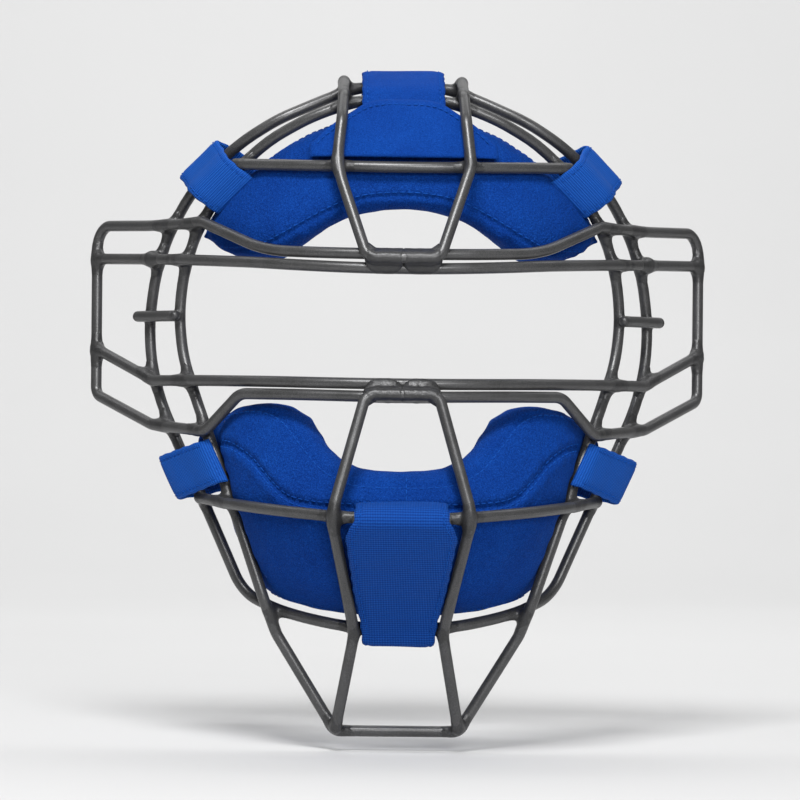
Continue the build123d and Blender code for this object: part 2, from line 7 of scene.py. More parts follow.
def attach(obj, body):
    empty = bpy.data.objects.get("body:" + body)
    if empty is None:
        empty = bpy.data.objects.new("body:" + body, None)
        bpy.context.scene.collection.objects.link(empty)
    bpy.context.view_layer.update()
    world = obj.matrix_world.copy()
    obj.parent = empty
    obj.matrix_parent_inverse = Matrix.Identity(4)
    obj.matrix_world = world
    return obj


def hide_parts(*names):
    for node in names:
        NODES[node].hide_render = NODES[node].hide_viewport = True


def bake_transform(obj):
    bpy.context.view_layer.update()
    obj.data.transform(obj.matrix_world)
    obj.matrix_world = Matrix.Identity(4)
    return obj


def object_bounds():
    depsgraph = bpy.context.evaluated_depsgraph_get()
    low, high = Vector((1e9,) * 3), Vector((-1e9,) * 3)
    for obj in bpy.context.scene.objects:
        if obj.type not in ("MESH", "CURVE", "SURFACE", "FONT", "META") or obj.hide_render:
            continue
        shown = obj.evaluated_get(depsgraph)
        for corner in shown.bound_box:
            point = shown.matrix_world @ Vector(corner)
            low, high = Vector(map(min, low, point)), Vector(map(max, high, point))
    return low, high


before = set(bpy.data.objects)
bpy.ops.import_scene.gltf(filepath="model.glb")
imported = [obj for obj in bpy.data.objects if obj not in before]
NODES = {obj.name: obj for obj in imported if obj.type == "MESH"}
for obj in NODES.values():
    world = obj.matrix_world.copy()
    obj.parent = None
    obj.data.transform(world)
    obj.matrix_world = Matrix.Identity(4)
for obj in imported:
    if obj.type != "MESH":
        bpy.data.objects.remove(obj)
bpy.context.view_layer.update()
SEAT = 86.0
R = 2.38
MM = 0.001

# ------------------------------------------------------------------ routes
# Wire routes from the mirror plane outward: width, depth behind the eye
# bars, height, in millimetres.
REAR_HOOP = [(0, 61.0, 134.8), (17.5, 61.0, 134.3), (30.6, 57.8, 129.6), (41.2, 54.6, 124.8), (53.2, 52.8, 119.4),
             (67.1, 55.4, 110.8), (79.5, 61.6, 100.6), (91.3, 70.6, 87.4), (100.9, 77.0, 69.4),
             (106.1, 80.4, 52.2), (108.4, 82.0, 32.7), (107.5, 80.0, 16.5), (103.4, 72.6, 0.0),
             (96.0, 63.4, -17.2), (83.3, 51.9, -43.6), (65.7, 44.0, -82.6), (51.5, 31.5, -88.8),
             (40.8, 24.4, -91.6), (26.0, 17.6, -94.4), (12.0, 14.6, -95.7), (0, 14.6, -95.7)]
FRONT_HOOP = [(0, 40.0, 128.2), (15.3, 40.0, 127.5), (30.5, 38.0, 122.9), (41.1, 38.6, 118.5), (55.7, 42.9, 110.5),
              (67.4, 48.0, 100.6), (77.9, 53.6, 88.1), (88.1, 59.8, 70.4), (93.3, 62.8, 52.5),
              (94.9, 63.6, 35.3), (93.0, 59.8, 18.0), (87.0, 49.4, 0.0), (71.7, 30.8, -40.5),
              (56.4, 25.2, -84.9), (51.3, 30.0, -98.8), (26.0, 28.3, -139.6), (0, 28.3, -139.6)]
BROW_BAR = [(10, 16.4, 97.4), (28, 19.8, 97.8), (43, 25.4, 98.2), (57, 33.4, 98.8), (71.0, 43.6, 99.4)]
UPPER_EYE_BAR = [(13, 0.4, 54.5), (31, 4.6, 55.1), (48, 11.7, 56.0), (62.1, 20.6, 57.0), (84.2, 42.8, 58.3),
                 (96.5, 60.0, 59.1), (107.2, 74.8, 59.6)]
EAR_STUB = [(107.9, 75.8, 59.7), (132.2, 112.4, 60.8)]
EAR_GUARD = [(0, 1.5, 60.5), (14, 1.5, 60.5), (35, 6.6, 60.9), (57.8, 18.6, 62.0), (84.5, 48.8, 74.7),
             (95.6, 63.6, 74.4), (108.8, 82.1, 74.4), (133.5, 116.6, 75.5), (132.5, 103.9, 0.9),
             (106.3, 69.7, -11.9), (82.3, 34.9, -14.2), (67.5, 20.1, 1.9), (45, 6.2, 1.8), (14, -4.2, 1.3),
             (0, -4.2, 1.3)]
LOWER_EYE_BAR = [(14, -2.4, 6.6), (34, 2.6, 6.8), (55, 12.6, 7.1), (84.9, 39.6, 7.3), (105.8, 69.0, 7.1),
                 (131.6, 105.2, 20.4)]
UPPER_CHIN_BAR = [(9, -24.0, -48.7), (25, -20.0, -48.1), (40.3, -12.4, -47.0), (53, -2.6, -46.0), (63, 9.0, -45.1),
                  (73.0, 25.2, -44.2), (84.6, 47.5, -42.6)]
UPPER_CENTER_BAR = [(15.1, -3.6, 58.9), (28.2, 14.2, 97.9), (26.1, 22.2, 118.0), (25.4, 34.2, 128.9),
                    (25.4, 57.2, 136.6), (25.4, 62.6, 136.4)]
LOWER_CENTER_BAR = [(15.0, -8.5, 2.3), (28.8, -24.6, -47.4), (18.4, 11.8, -97.4), (25.7, 23.8, -137.9)]
STRAP_POST = [(96.6, 58.4, 34.9), (113.4, 81.3, 34.9)]


def V(p):
    return np.array(p, float)


def row(p):
    q = np.array(p, float)
    q[..., 1] -= SEAT
    return q


def mirror_pts(a):
    b = np.array(a, float).copy()
    b[..., 0] *= -1
    return b


def route(pts, tight=None, step=1.6, arc_n=10):
    """Straight runs joined by tangent arcs, as sampled points."""
    tight = tight or {}
    P = [V(p) for p in pts]
    out = [P[0]]
    for i in range(1, len(P) - 1):
        a, b, c = P[i - 1], P[i], P[i + 1]
        u, v = b - a, c - b
        lu, lv = np.linalg.norm(u), np.linalg.norm(v)
        turn = math.acos(max(-1, min(1, float(u @ v) / (lu * lv))))
        rad = min(tight.get(i, 400.0), 0.45 * min(lu, lv) / math.tan(turn / 2))
        d = rad * math.tan(turn / 2)
        s, e = b - u / lu * d, b + v / lv * d
        m = (e - b) / np.linalg.norm(e - b) + (s - b) / np.linalg.norm(s - b)
        m /= np.linalg.norm(m)
        c0 = b + m * rad / math.cos(turn / 2)
        n = max(3, int(turn / math.radians(4)) + 1)
        x = (s - c0) / rad
        y = (e - c0) / rad
        y = y - x * float(x @ y)
        y /= np.linalg.norm(y)
        for k in range(n + 1):
            t = turn * k / n
            out.append(c0 + rad * (x * math.cos(t) + y * math.sin(t)))
    out.append(P[-1])
    # even out long straight runs so bumps and bends shade well
    res = [out[0]]
    for p, q in zip(out, out[1:]):
        L = np.linalg.norm(q - p)
        k = max(1, int(L / 4.0))
        for j in range(1, k + 1):
            res.append(p + (q - p) * j / k)
    return np.array([r for i, r in enumerate(res) if i == 0 or np.linalg.norm(r - res[i - 1]) > 1e-4])


def both(half):
    return [tuple(p) for p in mirror_pts(half)[::-1]] + list(half)


N_U = len(UPPER_CENTER_BAR)
ROUTES = {}
hr = route(REAR_HOOP)
ROUTES["rear_hoop"] = (np.vstack([hr, mirror_pts(hr)[::-1][1:-1]]), True)
hf = route(FRONT_HOOP, {13: 20.0, 14: 12.0, 15: 6.0})
ROUTES["front_hoop"] = (np.vstack([hf, mirror_pts(hf)[::-1][1:-1]]), True)
ROUTES["brow_bar"] = (route(both(BROW_BAR)), False)
ROUTES["upper_eye_bar"] = (route(both(UPPER_EYE_BAR)), False)
ROUTES["lower_eye_bar"] = (route(both(LOWER_EYE_BAR), {1: 14.0, 10: 14.0}), False)
ROUTES["upper_chin_bar"] = (route(both(UPPER_CHIN_BAR)), False)
ROUTES["upper_center_bar"] = (route(both(UPPER_CENTER_BAR), {1: 8.0, 3: 12.0, N_U - 1: 5.5, N_U: 5.5, N_U + 1: 12.0,
                              2 * N_U - 4: 12.0, 2 * N_U - 2: 8.0, 2: 8.0, 2 * N_U - 3: 8.0}), False)
ROUTES["lower_center_bar"] = (route(both(LOWER_CENTER_BAR), {1: 9.0, 2: 12.0, 3: 5.5, 4: 5.5, 5: 12.0, 6: 9.0}), False)
ear = route(EAR_GUARD, {4: 12.0, 5: 12.0, 7: 9.0, 8: 6.0, 9: 14.0, 10: 10.0, 11: 10.0})
ROUTES["left_ear_guard"] = (ear, False)
ROUTES["right_ear_guard"] = (mirror_pts(ear), False)
stub = route(EAR_STUB)
ROUTES["left_ear_stub"] = (stub, False)
ROUTES["right_ear_stub"] = (mirror_pts(stub), False)
post = route(STRAP_POST)
ROUTES["left_strap_post"] = (post, False)
ROUTES["right_strap_post"] = (mirror_pts(post), False)


# ------------------------------------------------------------------ meshes
def new_mesh(name, verts_mm, faces, uvs=None, smooth=True, in_row=False):
    """Vertices in depth coordinates (mm) unless in_row, to an object in m."""
    v = np.array(verts_mm, float)
    if not in_row:
        v = row(v)
    me = bpy.data.meshes.new(name)
    me.from_pydata((v * MM).tolist(), [], faces)
    me.validate()
    ob = bpy.data.objects.new(name, me)
    bpy.context.scene.collection.objects.link(ob)
    if uvs is not None:
        lay = me.uv_layers.new(name="cloth")
        for loop in me.loops:
            lay.data[loop.index].uv = uvs[loop.vertex_index]
    if smooth:
        me.polygons.foreach_set("use_smooth", [True] * len(me.polygons))
    bm = bmesh.new(); bm.from_mesh(me)
    bmesh.ops.recalc_face_normals(bm, faces=bm.faces)
    bm.to_mesh(me); bm.free()
    return ob


def tangents(P, closed):
    if closed:
        T = np.roll(P, -1, 0) - np.roll(P, 1, 0)
    else:
        T = np.empty_like(P)
        T[1:-1] = P[2:] - P[:-2]
        T[0] = P[1] - P[0]
        T[-1] = P[-1] - P[-2]
    return T / np.linalg.norm(T, axis=1)[:, None]


def tube(name, P, closed, radius=R, sides=28, cap=0.55, cuts=(True, True), radii=None):
    T = tangents(P, closed)
    if not closed:
        # small worn round-over at each cut end
        head = [P[0] + T[0] * 0.0, P[0] + T[0] * cap]
        tail = [P[-1] - T[-1] * cap, P[-1]]
        P = np.vstack([head, P[1:-1] if len(P) > 2 else np.empty((0, 3)), tail])
        T = tangents(P, closed)
    Y = V((0, 1, 0))
    N1 = Y - (T @ Y)[:, None] * T
    N1 /= np.linalg.norm(N1, axis=1)[:, None]
    N2 = np.cross(T, N1)
    ang = np.linspace(0, 2 * math.pi, sides, endpoint=False)
    rr = np.full(len(P), radius)
    if radii is not None:
        rr = radii(P)
    if not closed:
        rr[0] -= cap * 0.75
        rr[-1] -= cap * 0.75
    verts = P[:, None, :] + rr[:, None, None] * (np.cos(ang)[None, :, None] * N1[:, None, :] + np.sin(ang)[None, :, None] * N2[:, None, :])
    verts = verts.reshape(-1, 3)
    n = len(P)
    faces = []
    for i in range(n if closed else n - 1):
        a, b = i * sides, ((i + 1) % n) * sides
        for k in range(sides):
            k2 = (k + 1) % sides
            faces.append((a + k, a + k2, b + k2, b + k))
    if not closed:
        verts = np.vstack([verts, P[0], P[-1]])
        c0, c1 = n * sides, n * sides + 1
        for k in range(sides):
            k2 = (k + 1) % sides
            faces.append((c0, k2, k))
            faces.append((c1, (n - 1) * sides + k, (n - 1) * sides + k2))
    return new_mesh(name, verts, faces)


# --------------------------------------------------------------- materials
def mat_new(name):
    m = bpy.data.materials.new(name)
    m.use_nodes = True
    nt = m.node_tree
    bs = nt.nodes["Principled BSDF"]
    return m, nt, bs


def link(nt, a, b):
    nt.links.new(a, b)


def node(nt, kind, **kw):
    n = nt.nodes.new(kind)
    for k, v in kw.items():
        if k.startswith("i_"):
            n.inputs[k[2:].replace("_", " ")].default_value = v
        else:
            setattr(n, k, v)
    return n


def ramp(nt, stops):
    n = nt.nodes.new("ShaderNodeValToRGB")
    e = n.color_ramp.elements
    e[0].position, e[0].color = stops[0][0], stops[0][1]
    e[1].position, e[1].color = stops[-1][0], stops[-1][1]
    for p, c in stops[1:-1]:
        x = e.new(p); x.color = c
    return n


def coat_metal(name, base, dark, light, rough, bump=0.12):
    """Graphite powder coat: fine flake, faint orange peel, light rub marks."""
    m, nt, bs = mat_new(name)
    tc = node(nt, "ShaderNodeTexCoord")
    flake = node(nt, "ShaderNodeTexNoise"); flake.inputs["Scale"].default_value = 5200; flake.inputs["Detail"].default_value = 2
    cloud = node(nt, "ShaderNodeTexNoise"); cloud.inputs["Scale"].default_value = 95; cloud.inputs["Detail"].default_value = 5
    peel = node(nt, "ShaderNodeTexNoise"); peel.inputs["Scale"].default_value = 1500; peel.inputs["Detail"].default_value = 3
    for n in (flake, cloud, peel):
        link(nt, tc.outputs["Object"], n.inputs["Vector"])
    r1 = ramp(nt, [(0.3, dark), (0.5, base), (0.72, light)])
    link(nt, flake.outputs["Fac"], r1.inputs["Fac"])
    r2 = ramp(nt, [(0.3, (0.86, 0.86, 0.86, 1)), (0.7, (1.08, 1.08, 1.09, 1))])
    link(nt, cloud.outputs["Fac"], r2.inputs["Fac"])
    mul = node(nt, "ShaderNodeMixRGB", blend_type="MULTIPLY"); mul.inputs[0].default_value = 1.0
    link(nt, r1.outputs["Color"], mul.inputs[1]); link(nt, r2.outputs["Color"], mul.inputs[2])
    link(nt, mul.outputs["Color"], bs.inputs["Base Color"])
    rr = node(nt, "ShaderNodeMapRange"); rr.inputs["To Min"].default_value = rough - 0.06; rr.inputs["To Max"].default_value = rough + 0.09
    link(nt, cloud.outputs["Fac"], rr.inputs["Value"])
    link(nt, rr.outputs["Result"], bs.inputs["Roughness"])
    bs.inputs["Metallic"].default_value = 0.5
    b = node(nt, "ShaderNodeBump"); b.inputs["Strength"].default_value = bump; b.inputs["Distance"].default_value = 0.0004
    link(nt, peel.outputs["Fac"], b.inputs["Height"])
    link(nt, b.outputs["Normal"], bs.inputs["Normal"])
    return m


def knit_cloth(name, lo, mid, hi, scale=2600, rough=0.86, bump=0.5, sheen=0.05):
    """Brushed, slightly mottled knit."""
    m, nt, bs = mat_new(name)
    tc = node(nt, "ShaderNodeTexCoord")
    fine = node(nt, "ShaderNodeTexNoise"); fine.inputs["Scale"].default_value = scale; fine.inputs["Detail"].default_value = 3; fine.inputs["Roughness"].default_value = 0.7
    cell = node(nt, "ShaderNodeTexVoronoi"); cell.inputs["Scale"].default_value = scale * 0.42
    broad = node(nt, "ShaderNodeTexNoise"); broad.inputs["Scale"].default_value = 60; broad.inputs["Detail"].default_value = 4
    for n in (fine, cell, broad):
        link(nt, tc.outputs["Object"], n.inputs["Vector"])
    r1 = ramp(nt, [(0.28, lo), (0.5, mid), (0.74, hi)])
    link(nt, fine.outputs["Fac"], r1.inputs["Fac"])
    r2 = ramp(nt, [(0.25, (0.80, 0.82, 0.86, 1)), (0.75, (1.12, 1.10, 1.06, 1))])
    link(nt, broad.outputs["Fac"], r2.inputs["Fac"])
    mul = node(nt, "ShaderNodeMixRGB", blend_type="MULTIPLY"); mul.inputs[0].default_value = 1.0
    link(nt, r1.outputs["Color"], mul.inputs[1]); link(nt, r2.outputs["Color"], mul.inputs[2])
    link(nt, mul.outputs["Color"], bs.inputs["Base Color"])
    add = node(nt, "ShaderNodeMath", operation="ADD")
    link(nt, fine.outputs["Fac"], add.inputs[0]); link(nt, cell.outputs["Distance"], add.inputs[1])
    b = node(nt, "ShaderNodeBump"); b.inputs["Strength"].default_value = bump; b.inputs["Distance"].default_value = 0.0005
    link(nt, add.outputs["Value"], b.inputs["Height"])
    link(nt, b.outputs["Normal"], bs.inputs["Normal"])
    bs.inputs["Roughness"].default_value = rough
    bs.inputs["Sheen Weight"].default_value = sheen
    bs.inputs["Sheen Roughness"].default_value = 0.5
    bs.inputs["Sheen Tint"].default_value = (0.05, 0.3, 1.0, 1)
    bs.inputs["Specular IOR Level"].default_value = 0.08
    return m


def woven_cloth(name, lo, mid, hi, pitch=0.8, rough=0.7, bump=0.6, diamond=True):
    """Warp-knit mesh from the piece's own flat coordinates, in mm."""
    m, nt, bs = mat_new(name)
    uv = node(nt, "ShaderNodeUVMap"); uv.uv_map = "cloth"
    tc = node(nt, "ShaderNodeTexCoord")
    sep = node(nt, "ShaderNodeSeparateXYZ"); link(nt, uv.outputs["UV"], sep.inputs[0])

    def wave(a, b, per):
        # sin(2 pi (a x + b y) / per)
        ma = node(nt, "ShaderNodeMath", operation="MULTIPLY"); ma.inputs[1].default_value = a * 2 * math.pi / per
        link(nt, sep.outputs["X"], ma.inputs[0])
        mb = node(nt, "ShaderNodeMath", operation="MULTIPLY_ADD"); mb.inputs[1].default_value = b * 2 * math.pi / per
        link(nt, sep.outputs["Y"], mb.inputs[0]); link(nt, ma.outputs[0], mb.inputs[2])
        s = node(nt, "ShaderNodeMath", operation="SINE"); link(nt, mb.outputs[0], s.inputs[0])
        return s
    if diamond:
        w1, w2 = wave(1, 0.62, pitch), wave(-1, 0.62, pitch)
    else:
        w1, w2 = wave(1, 0, pitch), wave(0, 1, pitch)
    pr = node(nt, "ShaderNodeMath", operation="MULTIPLY"); link(nt, w1.outputs[0], pr.inputs[0]); link(nt, w2.outputs[0], pr.inputs[1])
    mr = node(nt, "ShaderNodeMapRange"); mr.inputs["From Min"].default_value = -1.0
    link(nt, pr.outputs[0], mr.inputs["Value"])
    fine = node(nt, "ShaderNodeTexNoise"); fine.inputs["Scale"].default_value = 3000; fine.inputs["Detail"].default_value = 2
    link(nt, tc.outputs["Object"], fine.inputs["Vector"])
    mix = node(nt, "ShaderNodeMath", operation="MULTIPLY_ADD"); mix.inputs[1].default_value = 0.35
    link(nt, fine.outputs["Fac"], mix.inputs[0]); link(nt, mr.outputs["Result"], mix.inputs[2])
    r1 = ramp(nt, [(0.25, lo), (0.62, mid), (1.0, hi)])
    link(nt, mix.outputs[0], r1.inputs["Fac"])
    link(nt, r1.outputs["Color"], bs.inputs["Base Color"])
    b = node(nt, "ShaderNodeBump"); b.inputs["Strength"].default_value = bump; b.inputs["Distance"].default_value = 0.0004
    link(nt, mix.outputs[0], b.inputs["Height"])
    link(nt, b.outputs["Normal"], bs.inputs["Normal"])
    bs.inputs["Roughness"].default_value = rough
    bs.inputs["Sheen Weight"].default_value = 0.05
    bs.inputs["Sheen Tint"].default_value = (0.1, 0.35, 1.0, 1)
    bs.inputs["Specular IOR Level"].default_value = 0.12
    return m


M_METAL = coat_metal("graphite_coat", (0.082, 0.082, 0.083, 1), (0.040, 0.040, 0.041, 1), (0.17, 0.17, 0.171, 1), 0.34)
M_WELD = coat_metal("graphite_coat_weld", (0.055, 0.055, 0.056, 1), (0.03, 0.03, 0.031, 1), (0.12, 0.12, 0.121, 1), 0.38, 0.22)
M_PAD = knit_cloth("brushed_knit", (0.0005, 0.018, 0.12, 1), (0.0015, 0.036, 0.24, 1), (0.010, 0.085, 0.42, 1), scale=2100, bump=0.7)
M_PANEL = knit_cloth("panel_knit", (0.0005, 0.022, 0.14, 1), (0.002, 0.04, 0.26, 1), (0.010, 0.085, 0.42, 1), scale=2900)
M_LINING = knit_cloth("lining_knit", (0.001, 0.02, 0.12, 1), (0.002, 0.035, 0.21, 1), (0.006, 0.065, 0.33, 1), scale=1500, sheen=0.2)
M_STRAP = woven_cloth("strap_mesh", (0.001, 0.036, 0.22, 1), (0.004, 0.062, 0.34, 1), (0.012, 0.11, 0.48, 1), pitch=1.25)
M_CHIN = woven_cloth("chin_mesh", (0.0005, 0.024, 0.16, 1), (0.002, 0.044, 0.27, 1), (0.008, 0.085, 0.40, 1), pitch=1.35, bump=0.7)
M_HOOK = knit_cloth("hook_tape", (0.002, 0.01, 0.05, 1), (0.006, 0.03, 0.13, 1), (0.03, 0.09, 0.3, 1), scale=1300, bump=1.0)
M_LOOP = knit_cloth("loop_tape", (0.001, 0.02, 0.12, 1), (0.003, 0.04, 0.24, 1), (0.012, 0.09, 0.4, 1), scale=1800, bump=0.9)
M_THREAD = knit_cloth("thread", (0.002, 0.04, 0.25, 1), (0.006, 0.07, 0.37, 1), (0.016, 0.12, 0.55, 1), scale=5000, bump=0.3)


def wear(ob, mat, body):
    ob.data.materials.clear()
    ob.data.materials.append(mat)
    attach(ob, body)
    return ob


# ------------------------------------------------------------------- wires
for name, (P, closed) in ROUTES.items():
    if name.endswith("strap_post"):
        P = np.array([P[0] + (P[-1] - P[0]) * t for t in (0, 0.1, 0.3, 0.5, 0.7, 0.9, 1.0)])
    ob = tube(name + "_wire", P, closed)
    wear(ob, M_METAL, "cage")
    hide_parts(name)


# ------------------------------------------------------------------- welds
def seg_dist(X, P, closed):
    """Distance of many points X to the polyline P, near its closest part."""
    A = P
    B = np.roll(P, -1, 0) if closed else P[1:]
    if not closed:
        A = P[:-1]
    c = X.mean(0)
    keep = (np.linalg.norm(A - c, axis=1) < 26) | (np.linalg.norm(B - c, axis=1) < 26)
    if not keep.any():
        return None
    A, B = A[keep], B[keep]
    D = B - A
    L2 = (D * D).sum(1)
    t = np.clip(((X[:, None, :] - A[None]) * D[None]).sum(2) / L2[None], 0, 1)
    Q = A[None] + t[..., None] * D[None]
    return np.linalg.norm(X[:, None, :] - Q, axis=2).min(1)


def ico_dirs(sub=5):
    bm = bmesh.new()
    bmesh.ops.create_icosphere(bm, subdivisions=sub, radius=1.0)
    bm.verts.ensure_lookup_table()
    d = np.array([v.co[:] for v in bm.verts])
    f = [tuple(v.index for v in fc.verts) for fc in bm.faces]
    bm.free()
    return d / np.linalg.norm(d, axis=1)[:, None], f


DIRS, DFACES = ico_dirs(5)
rng = np.random.default_rng(7)


def weld_blob(mid, wires, reach=8.5, k=5.0, lump=0.16):
    """Star-shaped fillet that blends the wires round the point mid."""
    names = [w for w in wires]
    lumps = [(rng.normal(size=3) * 0.9, rng.uniform(0.0, 6.28)) for _ in range(4)]

    def field(X):
        ds = [seg_dist(X, *ROUTES[w]) for w in names]
        ds = [d for d in ds if d is not None]
        s = -k * np.log(sum(np.exp(-(d - R) / (k * 0.36)) for d in ds)) * 0.36
        n = sum(np.sin(X @ l[0] + l[1]) for l in lumps) / 4
        return s + 0.05 - lump * n * np.clip(1.2 - np.linalg.norm(X - mid, axis=1) / reach, 0, 1)
    r = np.full(len(DIRS), reach)
    done = field(mid + DIRS * reach) < 0
    lo = np.zeros(len(DIRS))
    prev = r.copy()
    alive = ~done
    step = reach / 44
    cur = r.copy()
    for _ in range(44):
        nxt = cur - step
        val = field(mid + DIRS * nxt[:, None])
        hit = alive & (val < 0)
        lo[hit] = nxt[hit]; prev[hit] = cur[hit]
        alive &= ~hit
        cur = np.where(alive, nxt, cur)
        if not alive.any():
            break
    out = r.copy()
    idx = ~done & ~alive
    a, b = lo.copy(), prev.copy()
    for _ in range(7):
        m = (a + b) / 2
        val = field(mid + DIRS * m[:, None])
        inside = val < 0
        a = np.where(inside, m, a); b = np.where(inside, b, m)
    out[idx] = ((a + b) / 2)[idx]
    out[alive] = 0.2
    return mid + DIRS * out[:, None]


def nearest_pair(a, b, near, reach=26):
    A = ROUTES[a][0]; B = ROUTES[b][0]

    def fine(P, closed):
        Q = np.vstack([P, P[:1]]) if closed else P
        out = []
        for p, q in zip(Q, Q[1:]):
            kk = max(1, int(np.linalg.norm(q - p) / 0.6))
            out += [p + (q - p) * i / kk for i in range(kk + 1)]
        out = np.array(out)
        return out[np.linalg.norm(out - V(near), axis=1) < reach]
    A, B = fine(A, ROUTES[a][1]), fine(B, ROUTES[b][1])
    D = np.linalg.norm(A[:, None] - B[None], axis=2)
    i, j = np.unravel_index(D.argmin(), D.shape)
    return (A[i] + B[j]) / 2


WELDS = {
    "crown_welds": [("rear_hoop", "upper_center_bar", (25.4, 57, 134)), ("front_hoop", "upper_center_bar", (25.4, 36, 127)),
                    ("brow_bar", "upper_center_bar", (28, 17, 98)), ("brow_bar", "front_hoop", (70, 46, 99))],
    "eye_bar_welds": [("upper_eye_bar", "front_hoop", (92, 58, 58)), ("upper_eye_bar", "rear_hoop", (105, 77, 59)),
                      ("lower_eye_bar", "front_hoop", (89, 50, 7)), ("lower_eye_bar", "rear_hoop", (105, 72, 7))],
    "ear_guard_welds": [("left_ear_guard", "front_hoop", (86, 56, 74)), ("left_ear_guard", "rear_hoop", (99, 72, 74)),
                        ("left_ear_guard", "front_hoop", (81, 42, -14)), ("left_ear_guard", "rear_hoop", (97, 62, -14)),
                        ("left_ear_guard", "left_ear_stub", (132.5, 113, 60.8)),
                        ("left_ear_guard", "lower_eye_bar", (132, 106, 20.5))],
    "center_bar_welds": [("left_ear_guard", "upper_center_bar", (9.0, -1, 59.7), 4.5),
                         ("left_ear_guard", "lower_center_bar", (9.0, -6.3, 1.8), 4.5)],
    "chin_welds": [("upper_chin_bar", "front_hoop", (72, 28, -44)), ("upper_chin_bar", "rear_hoop", (84, 48, -43)),
                   ("upper_chin_bar", "lower_center_bar", (28, -21, -48)), ("rear_hoop", "front_hoop", (53, 30, -89)),
                   ("rear_hoop", "lower_center_bar", (18.5, 14, -96)), ("front_hoop", "lower_center_bar", (25.7, 26, -138.5))],
    "strap_post_welds": [("left_strap_post", "front_hoop", (95, 61, 35)), ("left_strap_post", "rear_hoop", (108, 79, 35))],
}
for group, seams in WELDS.items():
    vv, ff = [], []
    for s in seams:
        mid = nearest_pair(s[0], s[1], s[2], s[3] if len(s) > 3 else 26)
        near = [w for w, (P, c) in ROUTES.items() if not w.startswith("right_") and np.linalg.norm(P - mid, axis=1).min() < 9]
        near = sorted(set(near) | {s[0], s[1]})
        small = group == "strap_post_welds"
        pts = weld_blob(mid, near, reach=6.0 if small else 8.6, k=2.2 if small else 4.6)
        for side in (1, -1):
            p = pts.copy(); p[:, 0] *= side
            base = sum(len(v) for v in vv)
            vv.append(p)
            ff += [tuple(base + i for i in (f if side == 1 else f[::-1])) for f in DFACES]
    ob = new_mesh(group + "_fillets", np.vstack(vv), ff)
    wear(ob, M_WELD, "cage")
    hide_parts(group)

# ------------------------------------------------------- the curved form
CROWN = [(-142, 26), (-120, 19), (-100, 11.5), (-94, 7.5), (-83, -4), (-75, -10.4), (-66, -17),
         (-57, -21.8), (-48, -24), (-36, -21.5), (-25, -16), (-12, -9.2), (1.7, -4.5), (6.6, -3), (18, -1.8),
         (30, -1), (42, -0.4), (54.6, 0), (60.5, 1), (70, 4.3), (79, 8), (88, 12.1), (97.5, 16), (108, 20),
         (118, 24.5), (124, 28), (127.5, 31.5), (131, 37), (134, 45), (136, 54)]


def lerp(v, table):
    if v <= table[0][0]:
        return table[0][1]
    for (a, p), (b, q) in zip(table, table[1:]):
        if v <= b:
            return p + (q - p) * (v - a) / (b - a)
    return table[-1][1]


def form(x, z):
    rad = lerp(z, [(-48, 75), (0, 105)])
    ang = math.radians(lerp(z, [(-48, 60), (0, 54)]))
    x = abs(x)
    xt = rad * math.sin(ang)
    if x <= xt:
        return lerp(z, CROWN) + rad - math.sqrt(rad * rad - x * x)
    return lerp(z, CROWN) + rad * (1 - math.cos(ang)) + (x - xt) * math.tan(ang)


def inward(x, z, e=5.0):
    sx = (form(x + e, z) - form(x - e, z)) / (2 * e)
    sz = (form(x, z + e) - form(x, z - e)) / (2 * e)
    n = V((-sx, 1.0, -sz))
    return n / np.linalg.norm(n)


# Dense points on the wires, so that soft pieces can be kept off them.
from mathutils.kdtree import KDTree
dense = []
for name, (P, closed) in ROUTES.items():
    Q = np.vstack([P, P[:1]]) if closed else P
    for p, q in zip(Q, Q[1:]):
        k = max(1, int(np.linalg.norm(q - p) / 0.7))
        for i in range(k):
            dense.append(p + (q - p) * i / k)
WIRE_PTS = row(np.array(dense))
tree = KDTree(len(WIRE_PTS))
for i, p in enumerate(WIRE_PTS):
    tree.insert(p, i)
tree.balance()


def smooth_noise(P, scale, seed):
    r = np.random.default_rng(seed)
    out = np.zeros(len(P))
    for k in range(7):
        d = r.normal(size=3)
        d *= 2 * math.pi / (scale * r.uniform(0.6, 1.6) * np.linalg.norm(d))
        out += np.sin(P @ d + r.uniform(0, 6.28))
    return out / 7 * 1.6


# -------------------------------------------------------------- padded goods
def cad_copy(name, nodes):
    bm = bmesh.new()
    for n in nodes:
        bm.from_mesh(NODES[n].data)
    me = bpy.data.meshes.new(name)
    bm.to_mesh(me); bm.free()
    ob = bpy.data.objects.new(name, me)
    bpy.context.scene.collection.objects.link(ob)
    return ob


def bake(ob):
    """Replace ob's mesh with what its modifiers make of it."""
    dg = bpy.context.evaluated_depsgraph_get()
    me = bpy.data.meshes.new_from_object(ob.evaluated_get(dg))
    ob.modifiers.clear()
    ob.data = me
    return ob


def coords(ob):
    a = np.empty(len(ob.data.vertices) * 3)
    ob.data.vertices.foreach_get("co", a)
    return a.reshape(-1, 3) / MM


def set_coords(ob, a):
    ob.data.vertices.foreach_set("co", (a * MM).ravel())
    ob.data.update()


def normals(ob):
    a = np.empty(len(ob.data.vertices) * 3)
    ob.data.vertices.foreach_get("normal", a)
    return a.reshape(-1, 3)


def off_wires(A, gap, limit=None):
    """Press the cloth back, square to the form, where a wire lies on it."""
    out = A.copy()
    for i, p in enumerate(A):
        q, idx, d = tree.find(p)
        if d < R + gap:
            n = inward(p[0], p[2])
            v = p - np.array(q)
            along = float(v @ n)
            side2 = max(0.0, d * d - along * along)
            need = math.sqrt(max(0.0, (R + gap) ** 2 - side2)) - along
            if 0 < need < 9:
                out[i] = p + n * need
    return out


